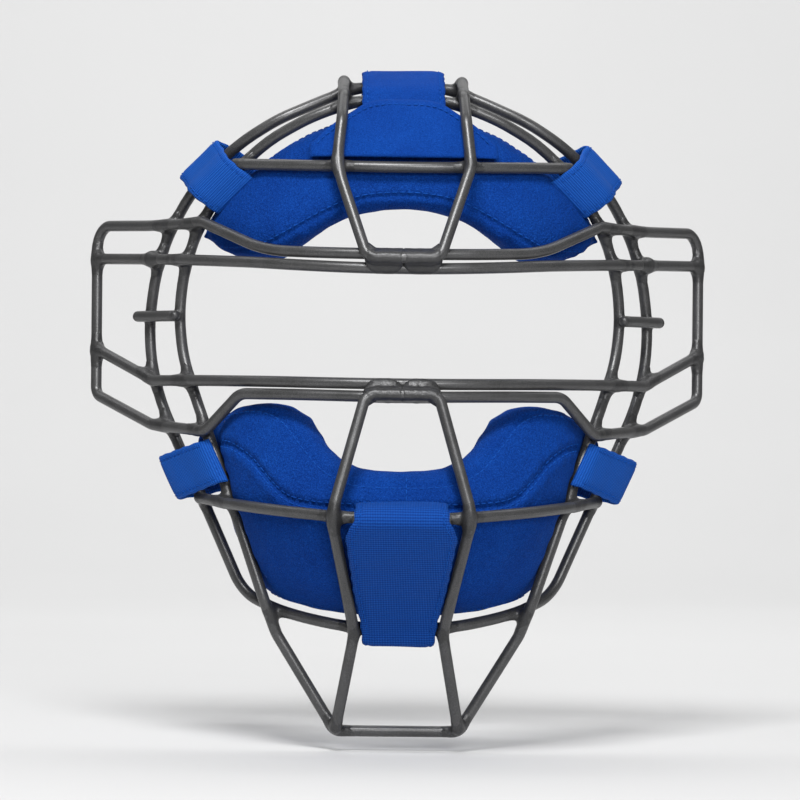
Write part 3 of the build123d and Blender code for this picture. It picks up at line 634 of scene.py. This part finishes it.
def puff(ob, pressure, cap, shrink):
    """Cloth simulation under air pressure, each point's motion capped."""
    A0 = coords(ob)
    set_coords(ob, A0 - normals(ob) * shrink)
    start = coords(ob)
    md = ob.modifiers.new("cloth", "CLOTH")
    st = md.settings
    st.quality = 6
    st.mass = 0.25
    st.tension_stiffness = 25
    st.compression_stiffness = 25
    st.shear_stiffness = 12
    st.bending_stiffness = 2.5
    st.use_pressure = True
    st.uniform_pressure_force = pressure
    st.effector_weights.gravity = 0
    md.collision_settings.use_collision = False
    md.collision_settings.use_self_collision = False
    md.point_cache.frame_start = 1
    md.point_cache.frame_end = 20
    sc = bpy.context.scene
    for f in range(1, 21):
        sc.frame_set(f)
    dg = bpy.context.evaluated_depsgraph_get()
    ev = ob.evaluated_get(dg)
    a = np.empty(len(ev.data.vertices) * 3)
    ev.data.vertices.foreach_get("co", a)
    end = a.reshape(-1, 3) / MM
    ob.modifiers.clear()
    sc.frame_set(1)
    if not np.isfinite(end).all():
        end = start
    d = end - start
    L = np.linalg.norm(d, axis=1)
    d *= (np.minimum(L, cap) / np.maximum(L, 1e-9))[:, None]
    set_coords(ob, start + d)


def relax(ob, factor, n):
    md = ob.modifiers.new("s", "SMOOTH")
    md.factor = factor
    md.iterations = n
    bake(ob)


def poly(points, step=0.8, closed=False):
    """Catmull-Rom through the points, evenly sampled."""
    P = [V(p) for p in points]
    Q = [2 * P[0] - P[1]] + P + [2 * P[-1] - P[-2]]
    out = []
    for i in range(1, len(Q) - 2):
        p0, p1, p2, p3 = Q[i - 1], Q[i], Q[i + 1], Q[i + 2]
        L = np.linalg.norm(p2 - p1)
        n = max(2, int(L / step))
        for j in range(n):
            t = j / n
            out.append(0.5 * ((2 * p1) + (-p0 + p2) * t + (2 * p0 - 5 * p1 + 4 * p2 - p3) * t * t + (-p0 + 3 * p1 - 3 * p2 + p3) * t ** 3))
    out.append(P[-1])
    out = np.array(out)
    s = np.concatenate([[0], np.cumsum(np.linalg.norm(np.diff(out, axis=0), axis=1))])
    m = max(2, int(round(s[-1] / step)))
    t = np.linspace(0, s[-1], m + 1)
    return np.stack([np.interp(t, s, out[:, k]) for k in range(3)], 1)


def bvh_of(ob):
    me = ob.data
    return BVHTree.FromPolygons([tuple(v.co / MM) for v in me.vertices], [tuple(p.vertices) for p in me.polygons])


def drop(bvh, line, back=False):
    """Drop an (x, z) line on to a pad from the front (or back), row mm."""
    out, nrm = [], []
    for x, z in line:
        o = Vector((x, 200.0 if back else -200.0, z))
        hit, n, i, d = bvh.ray_cast(o, Vector((0, -1 if back else 1, 0)))
        if hit is not None:
            out.append(np.array(hit)); nrm.append(np.array(n))
    return np.array(out), np.array(nrm)


def groove(A, N, line, depth, width, swell=0.0, pucker=0.0, period=5.0, seed=1):
    """Press a seam into the cloth along a line, with fullness beside it."""
    kd = KDTree(len(line))
    for i, p in enumerate(line):
        kd.insert(p, i)
    kd.balance()
    s = np.concatenate([[0], np.cumsum(np.linalg.norm(np.diff(line, axis=0), axis=1))])
    ph = np.random.default_rng(seed).uniform(0, 6.28, 3)
    out = A.copy()
    for i, p in enumerate(A):
        q, j, d = kd.find(p)
        if d > width * 5:
            continue
        g = -depth * math.exp(-(d / width) ** 2)
        g += swell * math.exp(-((d - width * 2.4) / (width * 1.3)) ** 2)
        if pucker:
            u = s[j]
            w = math.sin(u * 2 * math.pi / period + ph[0]) * 0.6 + math.sin(u * 2 * math.pi / (period * 1.73) + ph[1]) * 0.4
            g += pucker * w * math.exp(-((d - width) / (width * 2.6)) ** 2)
        out[i] = p + N[i] * g
    return out


def stitches(name, lines, length=2.3, gap=0.9, rad=0.24, lift=0.12, body="cage"):
    """Lock stitches: short rounded thread lengths lying along lines."""
    verts, faces = [], []
    prof = [(-0.5, 0.25), (-0.42, 0.8), (0.0, 1.0), (0.42, 0.8), (0.5, 0.25)]
    for P, N in lines:
        if len(P) < 3:
            continue
        s = np.concatenate([[0], np.cumsum(np.linalg.norm(np.diff(P, axis=0), axis=1))])
        t = length
        while t < s[-1] - length:
            def at(u):
                return np.array([np.interp(u, s, P[:, k]) for k in range(3)])
            c0, c1 = at(t - length / 2), at(t + length / 2)
            c = at(t)
            n = N[min(len(N) - 1, int(np.searchsorted(s, t)))]
            n = n / np.linalg.norm(n)
            ax = c1 - c0
            ax /= max(1e-9, np.linalg.norm(ax))
            b = np.cross(ax, n); b /= max(1e-9, np.linalg.norm(b))
            n2 = np.cross(b, ax)
            base = len(verts)
            for k, (u, w) in enumerate(prof):
                m = c + ax * u * length + n2 * (lift - 0.28 * (abs(u) > 0.45))
                for j in range(6):
                    a = j * math.pi / 3
                    verts.append(m + (b * math.cos(a) * rad * 1.25 + n2 * math.sin(a) * rad) * w)
            for k in range(len(prof) - 1):
                for j in range(6):
                    j2 = (j + 1) % 6
                    faces.append((base + k * 6 + j, base + k * 6 + j2, base + k * 6 + 6 + j2, base + k * 6 + 6 + j))
            faces.append(tuple(base + j for j in range(6))[::-1])
            faces.append(tuple(base + (len(prof) - 1) * 6 + j for j in range(6)))
            t += length + gap
    if not verts:
        return None
    ob = new_mesh(name, np.array(verts), faces, in_row=True)
    return wear(ob, M_THREAD, body)


FOREHEAD_EDGES = [((0, 83.2), (0, 124.4)), ((12.5, 82.4), (14, 124.0)), ((23, 80.0), (27.5, 121.4)),
                  ((32.7, 75.6), (40.6, 116.4)), ((42, 70.3), (53.5, 108.8)), ((50.5, 65.4), (65.5, 100.0)),
                  ((58.3, 61.8), (77.4, 88.8)), ((68, 61.2), (84.8, 78.2)), ((77.0, 62.2), (87.2, 69.6))]
CHIN_EDGES = [((0, -32.4), (0, -95.2)), ((11, -32.2), (13, -94.6)), ((21.5, -31.0), (25.5, -93.0)),
              ((32.6, -25.4), (38, -90.8)), ((41.5, -15.4), (49.6, -88.0)), ((48.5, -6.6), (59.0, -83.2)),
              ((56, -2.4), (65.4, -74.4)), ((65, -2.0), (70.4, -62.4)), ((73.5, -4.2), (74.6, -48.6)),
              ((81.3, -8.4), (80.0, -34.6)), ((86.0, -13.4), (85.2, -24.6))]


def edge_line(pairs, which, inset, grow=1.0):
    """A line along a pad's edge, inset towards its middle, both sides."""
    half = []
    for p in pairs:
        a, b = np.array(p[which], float), np.array(p[1 - which], float)
        d = (b - a) / np.linalg.norm(b - a)
        half.append(a + d * inset)
    pts = [(-x, z) for x, z in half[:0:-1]] + [tuple(h) for h in half]
    L = poly([(x, 0, z) for x, z in pts], 1.0)
    return [(p[0], p[2]) for p in L]


def make_pad(prefix, pairs, seams, cap, pressure):
    nodes = [prefix + "_cover", prefix + "_foam", prefix + "_lining"]
    ob = cad_copy(prefix + "_body", nodes)
    md = ob.modifiers.new("r", "REMESH"); md.mode = "VOXEL"; md.voxel_size = 0.0040
    bake(ob)
    relax(ob, 0.5, 3)
    puff(ob, pressure, cap, -0.4)
    relax(ob, 0.5, 2)
    set_coords(ob, off_wires(coords(ob), 0.9))
    relax(ob, 0.35, 1)
    md = ob.modifiers.new("s", "SUBSURF"); md.levels = 2; md.render_levels = 2
    bake(ob)
    A = coords(ob)
    A = off_wires(A, 0.35)
    set_coords(ob, A)
    ob.data.update()
    # broad unevenness, then the sewn lines
    N = normals(ob)
    A = A + N * (0.28 * smooth_noise(A, 26, 3) + 0.10 * smooth_noise(A, 9, 4))[:, None]
    set_coords(ob, A)
    bvh = bvh_of(ob)
    done = []
    for line, back, depth, width, swell, pucker, period in seams:
        P, Nn = drop(bvh, line, back)
        if len(P) < 4:
            continue
        N = normals(ob)
        A = groove(coords(ob), N, P, depth, width, swell, pucker, period, seed=len(done) + 5)
        set_coords(ob, A)
        done.append((line, back))
    A = off_wires(coords(ob), 0.12)
    set_coords(ob, A)
    return ob, done


def split_back(ob, prefix, share=0.60):
    """Faces that look back to the wearer are the lining, the rest the cover."""
    me = ob.data
    rad = []
    for f in me.polygons:
        c = np.array(f.center) / MM
        n = inward(c[0], c[2])
        depth = (c[1] + SEAT - form(c[0], c[2])) * n[1]
        rad.append(depth > share)
    parts = []
    for keep, suffix, mat, node_names, sl in ((False, "_cover_cloth", M_PAD, (prefix + "_cover", prefix + "_foam"), "pad_cloth"),
                                              (True, "_lining_cloth", M_LINING, (prefix + "_lining",), "lining")):
        bm = bmesh.new(); bm.from_mesh(me)
        bm.faces.ensure_lookup_table()
        bmesh.ops.delete(bm, geom=[f for f, r in zip(bm.faces, rad) if r != keep], context="FACES")
        loose = [v for v in bm.verts if not v.link_faces]
        bmesh.ops.delete(bm, geom=loose, context="VERTS")
        m2 = bpy.data.meshes.new(prefix + suffix)
        bm.to_mesh(m2); bm.free()
        m2.polygons.foreach_set("use_smooth", [True] * len(m2.polygons))
        o2 = bpy.data.objects.new(prefix + suffix, m2)
        bpy.context.scene.collection.objects.link(o2)
        wear(o2, mat, "cage")
        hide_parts(*node_names)
        parts.append(o2)
    bpy.data.objects.remove(ob)
    return parts


CHIN_SEAM = [(-76, -19), (-70, -20.5), (-62, -26), (-55, -34), (-47, -41), (-36, -43.6), (-18, -44.4), (0, -44.6),
             (18, -44.4), (36, -43.6), (47, -41), (55, -34), (62, -26), (70, -20.5), (76, -19)]
chin_seam = [(p[0], p[2]) for p in poly([(x, 0, z) for x, z in CHIN_SEAM], 1.0)]
mid_seam = [(0.6, z) for z in np.arange(-31.5, -45, -0.8)]
chin_pad, _ = make_pad("chin_pad", CHIN_EDGES, [
    (chin_seam, False, 1.5, 1.5, 0.35, 0.42, 7.5),
    (mid_seam, False, 0.9, 1.2, 0.2, 0.15, 5.0),
    (edge_line(CHIN_EDGES, 0, 2.6), False, 0.55, 1.0, 0.12, 0.10, 6.0),
    (edge_line(CHIN_EDGES, 1, 2.8), False, 0.55, 1.0, 0.12, 0.12, 6.0),
    (edge_line(CHIN_EDGES, 0, 3.0), True, 0.7, 1.1, 0.12, 0.15, 6.0),
    (edge_line(CHIN_EDGES, 1, 3.0), True, 0.7, 1.1, 0.12, 0.15, 6.0)], 6.0, 4.0)
fore_pad, _ = make_pad("forehead_pad", FOREHEAD_EDGES, [
    (edge_line(FOREHEAD_EDGES, 0, 2.4), False, 0.7, 1.0, 0.15, 0.12, 6.5),
    (edge_line(FOREHEAD_EDGES, 1, 2.6), False, 0.6, 1.0, 0.12, 0.12, 6.5),
    (edge_line(FOREHEAD_EDGES, 0, 3.0), True, 0.7, 1.1, 0.12, 0.15, 6.0),
    (edge_line(FOREHEAD_EDGES, 1, 3.0), True, 0.7, 1.1, 0.12, 0.15, 6.0)], 6.0, 4.0)

for ob, prefix, pairs in ((chin_pad, "chin_pad", CHIN_EDGES), (fore_pad, "forehead_pad", FOREHEAD_EDGES)):
    bvh = bvh_of(ob)
    lines = [drop(bvh, edge_line(pairs, 0, 3.9)), drop(bvh, edge_line(pairs, 1, 4.2)),
             drop(bvh, edge_line(pairs, 0, 4.6), True), drop(bvh, edge_line(pairs, 1, 4.6), True)]
    if prefix == "chin_pad":
        for off in (-1.5, 1.5):
            lines.append(drop(bvh, [(x, z + off) for x, z in chin_seam]))
        lines.append(drop(bvh, [(2.0, z) for x, z in mid_seam]))
    stitches(prefix + "_stitching", lines)
    for part in split_back(ob, prefix, 17.0):
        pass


# ------------------------------------------------------------------- straps
def ribbon(name, mid, W, half, thick=2.0, taper_start=True, taper_end=True, hems=(2.2,), lean=None, ripple=0.12, seed=11,
           side=1, v0=0.0):
    """A flat strap along mid (row mm), W its width direction. half is its
    half width, a number or a function of the station (0..1) and point."""
    P = np.array(mid, float)
    s = np.concatenate([[0], np.cumsum(np.linalg.norm(np.diff(P, axis=0), axis=1))])
    T = tangents(P, False)
    W = V(W) / np.linalg.norm(W)
    N = np.cross(W, T)
    N /= np.linalg.norm(N, axis=1)[:, None]
    a = []
    m = 22
    for i in range(m + 1):
        u = -1 + 2 * i / m
        a.append(math.copysign(abs(u) ** 0.82, u))
    a = np.array(a)
    verts, uvs = [], []
    rs = np.random.default_rng(seed)
    ph = rs.uniform(0, 6.28, 4)
    for i, p in enumerate(P):
        h = half(s[i] / s[-1], p) if callable(half) else half
        end = 1.0
        if taper_start:
            end = min(end, math.sqrt(max(0.02, min(1.0, s[i] / 1.1))))
        if taper_end:
            end = min(end, math.sqrt(max(0.02, min(1.0, (s[-1] - s[i]) / 1.1))))
        up, dn = [], []
        for x in a:
            e = (1 - min(1.0, abs(x)) ** 9) ** 0.5
            t = thick / 2 * (0.16 + 0.84 * e) * end
            g = 0.0
            for hm in hems:
                g += 0.30 * math.exp(-((h * (1 - abs(x)) - hm) / 0.75) ** 2)
            rp = ripple * (math.sin(s[i] * 0.31 + ph[0] + x * 1.3) * 0.5 + math.sin(s[i] * 0.83 + ph[1] - x * 2.1) * 0.25
                           + math.sin(x * 3.1 + ph[2] + s[i] * 0.12) * 0.5)
            edge = 0.16 * math.sin(s[i] * 0.9 + ph[3]) * (abs(x) > 0.9)
            base = p + W * (x * (h + edge)) + N[i] * rp
            up.append(base + N[i] * (t - g * min(1, e * 2)))
            dn.append(base - N[i] * (t - g * min(1, e * 2)))
        ring = up + dn[::-1]
        verts += ring
        uvs += [(x * h, s[i] + v0) for x in a] + [(x * h + 0.3, s[i] + v0) for x in a[::-1]]
    k = 2 * (m + 1)
    faces = []
    for i in range(len(P) - 1):
        for j in range(k):
            j2 = (j + 1) % k
            faces.append((i * k + j, i * k + j2, (i + 1) * k + j2, (i + 1) * k + j))
    for row0 in (0, (len(P) - 1) * k):
        for j in range(m):
            q = (row0 + j, row0 + j + 1, row0 + k - 2 - j, row0 + k - 1 - j)
            faces.append(q if row0 else q[::-1])
    verts = np.array(verts)
    return new_mesh(name, verts, faces, uvs=[tuple(u) for u in uvs], in_row=True), P, N, W, s


def clear_of_wires(ob, gap=0.12, sweep=3):
    """Move strap cloth straight out of any wire that it would cut into."""
    A = coords(ob)
    for _ in range(sweep):
        for i, p in enumerate(A):
            q, idx, d = tree.find(p)
            if 1e-6 < d < R + gap:
                A[i] = np.array(q) + (p - np.array(q)) / d * (R + gap)
    set_coords(ob, A)


def strap_stitches(name, P, N, W, s, half, inset=2.2, lo=1.5, hi=None, both_faces=True, cross=(), lift=0.85, body="cage"):
    lines = []
    hi = s[-1] - 1.5 if hi is None else hi
    keep = (s > lo) & (s < hi)
    H = np.array([half(t / s[-1], p) if callable(half) else half for t, p in zip(s, P)])
    for sg in (1, -1):
        for f in ((1, -1) if both_faces else (1,)):
            L = P + W * ((H - inset) * sg)[:, None] + N * (f * lift)
            lines.append((L[keep], (N * f)[keep]))
    for c in cross:
        i = int(np.searchsorted(s, c))
        i = min(max(i, 0), len(P) - 1)
        xs = np.arange(-(H[i] - inset), H[i] - inset + 0.01, 0.8)
        for f in ((1, -1) if both_faces else (1,)):
            lines.append((P[i] + W * xs[:, None] + N[i] * (f * lift), np.repeat((N[i] * f)[None], len(xs), 0)))
    return stitches(name, lines, length=1.9, gap=0.8, rad=0.2, lift=0.1, body=body)


U_W_T = {
    "upper": ((81.6, -23.0, 98.4), (-0.42405, -0.74916, -0.50886), (0.70914, -0.62416, 0.32795), (-0.65519, -0.41153, 0.63353)),
    "lower": ((88.9, -29.2, -32.2), (-0.50653, -0.83155, 0.22794), (0.82330, -0.54499, -0.15865), (0.40353, 0.36540, 0.83884)),
}
HU, HW = -5.0, -1.6
SIDE = {
    "upper": (4.4, [(4.0, 6.4), (9.0, 8.2), (14.5, 8.4), (19.5, 5.2), (24.5, -0.6)], 25.0),
    "lower": (7.4, [(3.5, 8.3), (10.0, 7.4), (23.0, 5.4), (27.4, 1.6)], 22.0),
}
TAIL = [(-4.2, -8.0), (-0.5, -16.0), (4.0, -24.0), (9.5, -30.5), (17.5, -32.2), (31.0, -32.6)]


def arc2(cx, cy, r, a0, a1, k):
    return [(cx + r * math.cos(math.radians(a0 + (a1 - a0) * i / k)), cy + r * math.sin(math.radians(a0 + (a1 - a0) * i / k))) for i in range(k + 1)]


def tape(name, node, mat, body, seed):
    """Hook or loop tape: a thin napped patch with softened edges."""
    ob = cad_copy(name, [node])
    md = ob.modifiers.new("r", "REMESH"); md.mode = "VOXEL"; md.voxel_size = 0.00055
    bake(ob)
    relax(ob, 0.5, 3)
    A = coords(ob)
    A += normals(ob) * (0.05 * smooth_noise(A, 1.6, seed) + 0.05 * smooth_noise(A, 7, seed + 1))[:, None]
    set_coords(ob, A)
    ob.data.polygons.foreach_set("use_smooth", [True] * len(ob.data.polygons))
    wear(ob, mat, body)
    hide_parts(node)
    return ob


for level, (R0, u, w, t) in U_W_T.items():
    rise, front, width = SIDE[level]
    R0, u, w, t = V(R0), V(u), V(w), V(t)
    fold = [(HU, HW), (HU, HW + 2.6), (HU, HW + rise)] + arc2(HU + 2.4, HW + rise + 0.6, 2.4, 180, 112, 3)
    start2 = [(HU + 0.15, HW - 1.4), (HU, HW)]
    line = fold + front
    wc = np.cross(t, u)
    for sd, sg in (("left", 1), ("right", -1)):
        mir = V((sg, 1, 1))
        to = lambda a: np.array([(R0 + u * p[0] + w * p[1]) * mir for p in a])
        Wd = t * mir
        half = width / 2
        seed = 3 + 7 * (level == "lower") + (sg < 0)
        mid = poly(to(line), 0.8)
        taper = lambda q, p, half=half: half * (1 - 0.06 * q)
        ob, P, N, W, s = ribbon("%s_%s_strap_web" % (sd, level), mid, Wd, taper, taper_start=False, seed=seed, side=sg)
        clear_of_wires(ob)
        wear(ob, M_STRAP, "cage")
        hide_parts("%s_%s_strap" % (sd, level))
        tail_mid = poly(to([(HU, HW)] + TAIL), 0.9)
        ob2, P2, N2, W2, s2 = ribbon("%s_%s_strap_tail_web" % (sd, level), tail_mid, Wd, half, taper_start=False, seed=seed + 20, side=sg)
        ob2.data.materials.clear(); ob2.data.materials.append(M_STRAP)
        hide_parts("%s_%s_strap_tail" % (sd, level))
        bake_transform(ob2)
        strap_stitches("%s_%s_strap_stitching" % (sd, level), P, N, W, s, taper, cross=(s[-1] - 3.0,), lo=5.0)
        tape("%s_%s_hook_tape" % (sd, level), "%s_%s_hook_patch" % (sd, level), M_HOOK, "%s_%s_tail" % (sd, level), seed + 40)
    tape(level + "_loop_tape", level + "_loop_patches", M_LOOP, "cage", 77)


def yz(points):
    return np.array([(0.0, p[0] - SEAT, p[1]) for p in points])


X = (1.0, 0.0, 0.0)
TOP_FRONT = [(27.2, 118.0), (30.8, 122.4), (34.4, 127.6), (36.6, 130.8), (40.6, 133.4), (50.0, 137.4), (59.0, 140.2),
             (63.6, 140.0), (66.6, 138.2), (67.6, 136.4)]
TOP_HINGE = (67.8, 134.9)
TOP_BACK = [TOP_HINGE, (67.6, 130.0), (65.4, 122.5), (61.2, 113.5), (56.8, 104.0), (53.4, 96.0)]
mid = poly(yz(TOP_FRONT + [TOP_HINGE]), 0.8)
ob, P, N, W, s = ribbon("top_strap_web", mid, X, 17.5, taper_end=False, seed=41, ripple=0.18)
clear_of_wires(ob)
wear(ob, M_PANEL, "cage")
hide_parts("top_strap")
strap_stitches("top_strap_stitching", P, N, W, s, 17.5, lo=1.5, hi=s[-1] - 4)
mid = poly(yz(TOP_BACK), 0.9)
ob, P, N, W, s = ribbon("top_strap_tail_web", mid, X, 17.5, taper_start=False, seed=42)
ob.data.materials.clear(); ob.data.materials.append(M_PANEL)
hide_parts("top_strap_tail")
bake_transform(ob)
tape("top_hook_tape", "top_hook_patch", M_HOOK, "top_tail", 51)
tape("top_loop_tape", "top_loop_patch", M_LOOP, "cage", 52)

CHIN_HINGE = (19.9, -99.4)
CHIN_FRONT = [(-18.0, -42.2), (-24.6, -44.0), (-28.2, -46.6), (-28.9, -50.4), (-26.0, -55.0), (-17.2, -65.6), (-6.4, -77.0),
              (3.2, -87.4), (9.6, -95.4), (11.0, -98.6), (12.8, -101.2), (15.6, -102.2), (18.0, -101.4)]
CHIN_BACK = [CHIN_HINGE, (23.0, -98.9), (34.0, -98.3), (40.5, -96.6), (43.6, -92.0), (43.4, -84.0), (42.0, -73.0)]


def chin_half(q, p):
    z = p[2]
    h = lerp(-z, [(42, 18.8), (46, 19.2), (49.5, 19.6), (56, 22.9), (58, 22.6), (80, 19.0), (92, 16.2), (98, 15.4), (106, 14.5)])
    return h


mid = poly(yz(CHIN_FRONT + [CHIN_HINGE]), 0.8)
ob, P, N, W, s = ribbon("chin_front_panel_web", mid, X, chin_half, taper_end=False, seed=61, ripple=0.22, hems=(2.4,))
clear_of_wires(ob)
wear(ob, M_CHIN, "cage")
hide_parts("chin_front_panel")
area = float(sum(2 * chin_half(0, p) for p in P) / len(P)) * s[-1]
strap_stitches("chin_panel_stitching", P, N, W, s, chin_half, inset=2.4, lo=2.5, hi=s[-1] - 10, cross=(3.0,))
mid = poly(yz(CHIN_BACK), 0.9)
ob, P, N, W, s = ribbon("chin_strap_tail_web", mid, X, 14.5, taper_start=False, seed=62)
ob.data.materials.clear(); ob.data.materials.append(M_STRAP)
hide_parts("chin_strap_tail")
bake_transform(ob)
tape("chin_hook_tape", "chin_hook_patch", M_HOOK, "chin_tail", 71)
tape("chin_loop_tape", "chin_loop_patch", M_LOOP, "cage", 72)

# --------------------------------------------------- forehead front panel
PANEL = [(0, 101.4, 126.8), (9, 101.4, 126.6), (15.5, 101.5, 125.2), (21.5, 101.7, 121.6), (31, 101.9, 115.0),
         (39.5, 102.1, 107.0)]


def on_form(x, z, layer):
    n = inward(x, z, 1.5)
    return V((x, form(x, z) - SEAT + layer / n[1], z))


top_edge = poly([(-a, 0, c) for a, b, c in PANEL[:0:-1]] + [(a, 0, c) for a, b, c in PANEL], 1.0)
cols, rows_n = len(top_edge), 26
front, back, uv = [], [], []
for i, q in enumerate(top_edge):
    x = q[0]
    z0, z1 = 101.5 + 0.3 * abs(x) / 40, q[2]
    for j in range(rows_n + 1):
        v = j / rows_n
        z = z0 + (z1 - z0) * v
        edge = min(j, rows_n - j) * (z1 - z0) / rows_n
        ex = min(i, cols - 1 - i) * 1.0
        e = min(1.0, min(edge, ex) / 1.0)
        th = 0.72 * (0.12 + 0.88 * math.sqrt(e))
        hem = 0.28 * math.exp(-((min(edge if v > 0.5 else 99, ex + 1.0) - 2.4) / 0.8) ** 2)
        wob = 0.16 * math.sin(x * 0.21 + z * 0.35) + 0.1 * math.sin(x * 0.47 - z * 0.2)
        front.append(on_form(x, z, -1.15 - th + hem + wob)); back.append(on_form(x, z, -1.15 + th + wob)); uv.append((x, z))
n0 = len(front)
faces = []
for i in range(cols - 1):
    for j in range(rows_n):
        a, b = i * (rows_n + 1) + j, (i + 1) * (rows_n + 1) + j
        faces.append((a, b, b + 1, a + 1))
        faces.append((n0 + a, n0 + a + 1, n0 + b + 1, n0 + b))
for i in range(cols - 1):
    for j in (0, rows_n):
        a, b = i * (rows_n + 1) + j, (i + 1) * (rows_n + 1) + j
        f = (a, n0 + a, n0 + b, b)
        faces.append(f if j == 0 else f[::-1])
for i in (0, cols - 1):
    for j in range(rows_n):
        a = i * (rows_n + 1) + j
        f = (a, a + 1, n0 + a + 1, n0 + a)
        faces.append(f if i == 0 else f[::-1])
ob = new_mesh("forehead_front_panel_cloth", np.array(front + back), faces, uvs=uv + uv, in_row=True)
A = coords(ob)
for i, p in enumerate(A):
    q, idx, d = tree.find(p)
    if d < R + 0.15:
        nn = inward(p[0], p[2])
        v = p - np.array(q)
        along = float(v @ nn)
        side2 = max(0.0, d * d - along * along)
        sgn = 1 if q[1] < p[1] + 1.2 and not (118 < p[2] < 132 and q[1] > -52) else -1
        A[i] = p + nn * (sgn * math.sqrt(max(0.0, (R + 0.15) ** 2 - side2)) - along)
set_coords(ob, A)
wear(ob, M_PANEL, "cage")
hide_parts("forehead_front_panel")
L = []
for off in (2.4,):
    pts = [V((q[0], 0, q[2] - off)) for q in top_edge[3:-3]]
    line3 = np.array([on_form(p[0], p[2], -2.0) for p in pts])
    nn = np.array([-inward(p[0], p[2], 1.5) for p in pts])
    L.append((line3, nn))
stitches("forehead_panel_stitching", L, length=1.9, gap=0.8, rad=0.2, lift=0.1)

# ------------------------------------------------------- stage and camera
def stage_mat():
    m, nt, bs = mat_new("pale_sweep")
    tc = node(nt, "ShaderNodeTexCoord")
    n = node(nt, "ShaderNodeTexNoise"); n.inputs["Scale"].default_value = 3
    link(nt, tc.outputs["Object"], n.inputs["Vector"])
    r = ramp(nt, [(0.3, (0.655, 0.655, 0.655, 1)), (0.7, (0.667, 0.667, 0.667, 1))])
    link(nt, n.outputs["Fac"], r.inputs["Fac"])
    link(nt, r.outputs["Color"], bs.inputs["Base Color"])
    bs.inputs["Roughness"].default_value = 0.95
    bs.inputs["Specular IOR Level"].default_value = 0.0
    return m


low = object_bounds()[0][2]
prof = [(-6.0, low - 0.006), (1.2, low - 0.006)]
for k in range(1, 13):
    a = math.radians(90 * k / 12)
    prof.append((1.2 + 1.2 * math.sin(a), low - 0.006 + 1.2 * (1 - math.cos(a))))
prof.append((2.4, 6.0))
sv, sf = [], []
for y, z in prof:
    sv += [(-7.0, y, z), (7.0, y, z)]
for k in range(len(prof) - 1):
    sf.append((2 * k, 2 * k + 1, 2 * k + 3, 2 * k + 2))
me = bpy.data.meshes.new("studio_sweep"); me.from_pydata(sv, [], sf)
sweep = bpy.data.objects.new("studio_sweep", me)
bpy.context.scene.collection.objects.link(sweep)
me.polygons.foreach_set("use_smooth", [True] * len(me.polygons))
me.materials.append(stage_mat())

world = bpy.data.worlds.new("soft") if bpy.context.scene.world is None else bpy.context.scene.world
bpy.context.scene.world = world
world.use_nodes = True
world.node_tree.nodes["Background"].inputs[0].default_value = (1, 1, 1, 1)
world.node_tree.nodes["Background"].inputs[1].default_value = 0.15
bpy.context.scene.view_settings.view_transform = "Standard"


def area(name, loc, target, size, power, size_y=None):
    l = bpy.data.lights.new(name, "AREA")
    l.energy = power
    l.size = size
    if size_y:
        l.shape = "RECTANGLE"; l.size_y = size_y
    o = bpy.data.objects.new(name, l)
    o.location = loc
    o.rotation_euler = (Vector(target) - Vector(loc)).to_track_quat("-Z", "Y").to_euler()
    bpy.context.scene.collection.objects.link(o)
    return o


area("key_over", (-0.15, -0.8, 1.0), (0, -0.05, 0), 0.5, 14.5, 0.3)
area("front_fill", (0.35, -1.7, 0.55), (0, -0.05, 0), 0.5, 13.5)
area("back_wall_wash", (0.0, 0.9, 1.6), (0.0, 2.3, 0.1), 2.0, 36)

cam = bpy.data.cameras.new("camera")
cam.lens = 173.9
cam.sensor_width = 36.0
cam.clip_start = 0.05
cam.dof.use_dof = False
co = bpy.data.objects.new("camera", cam)
bpy.context.scene.collection.objects.link(co)
eye = Vector((-0.0338, -1.686, 0.0))
aim = Vector((-0.0008, -0.086, 0.0))
rot = (aim - eye).to_track_quat("-Z", "Y")
co.location = eye
from mathutils import Quaternion
co.rotation_euler = (rot @ Quaternion((0, 0, 1), math.radians(0.7))).to_euler()
bpy.context.scene.camera = co
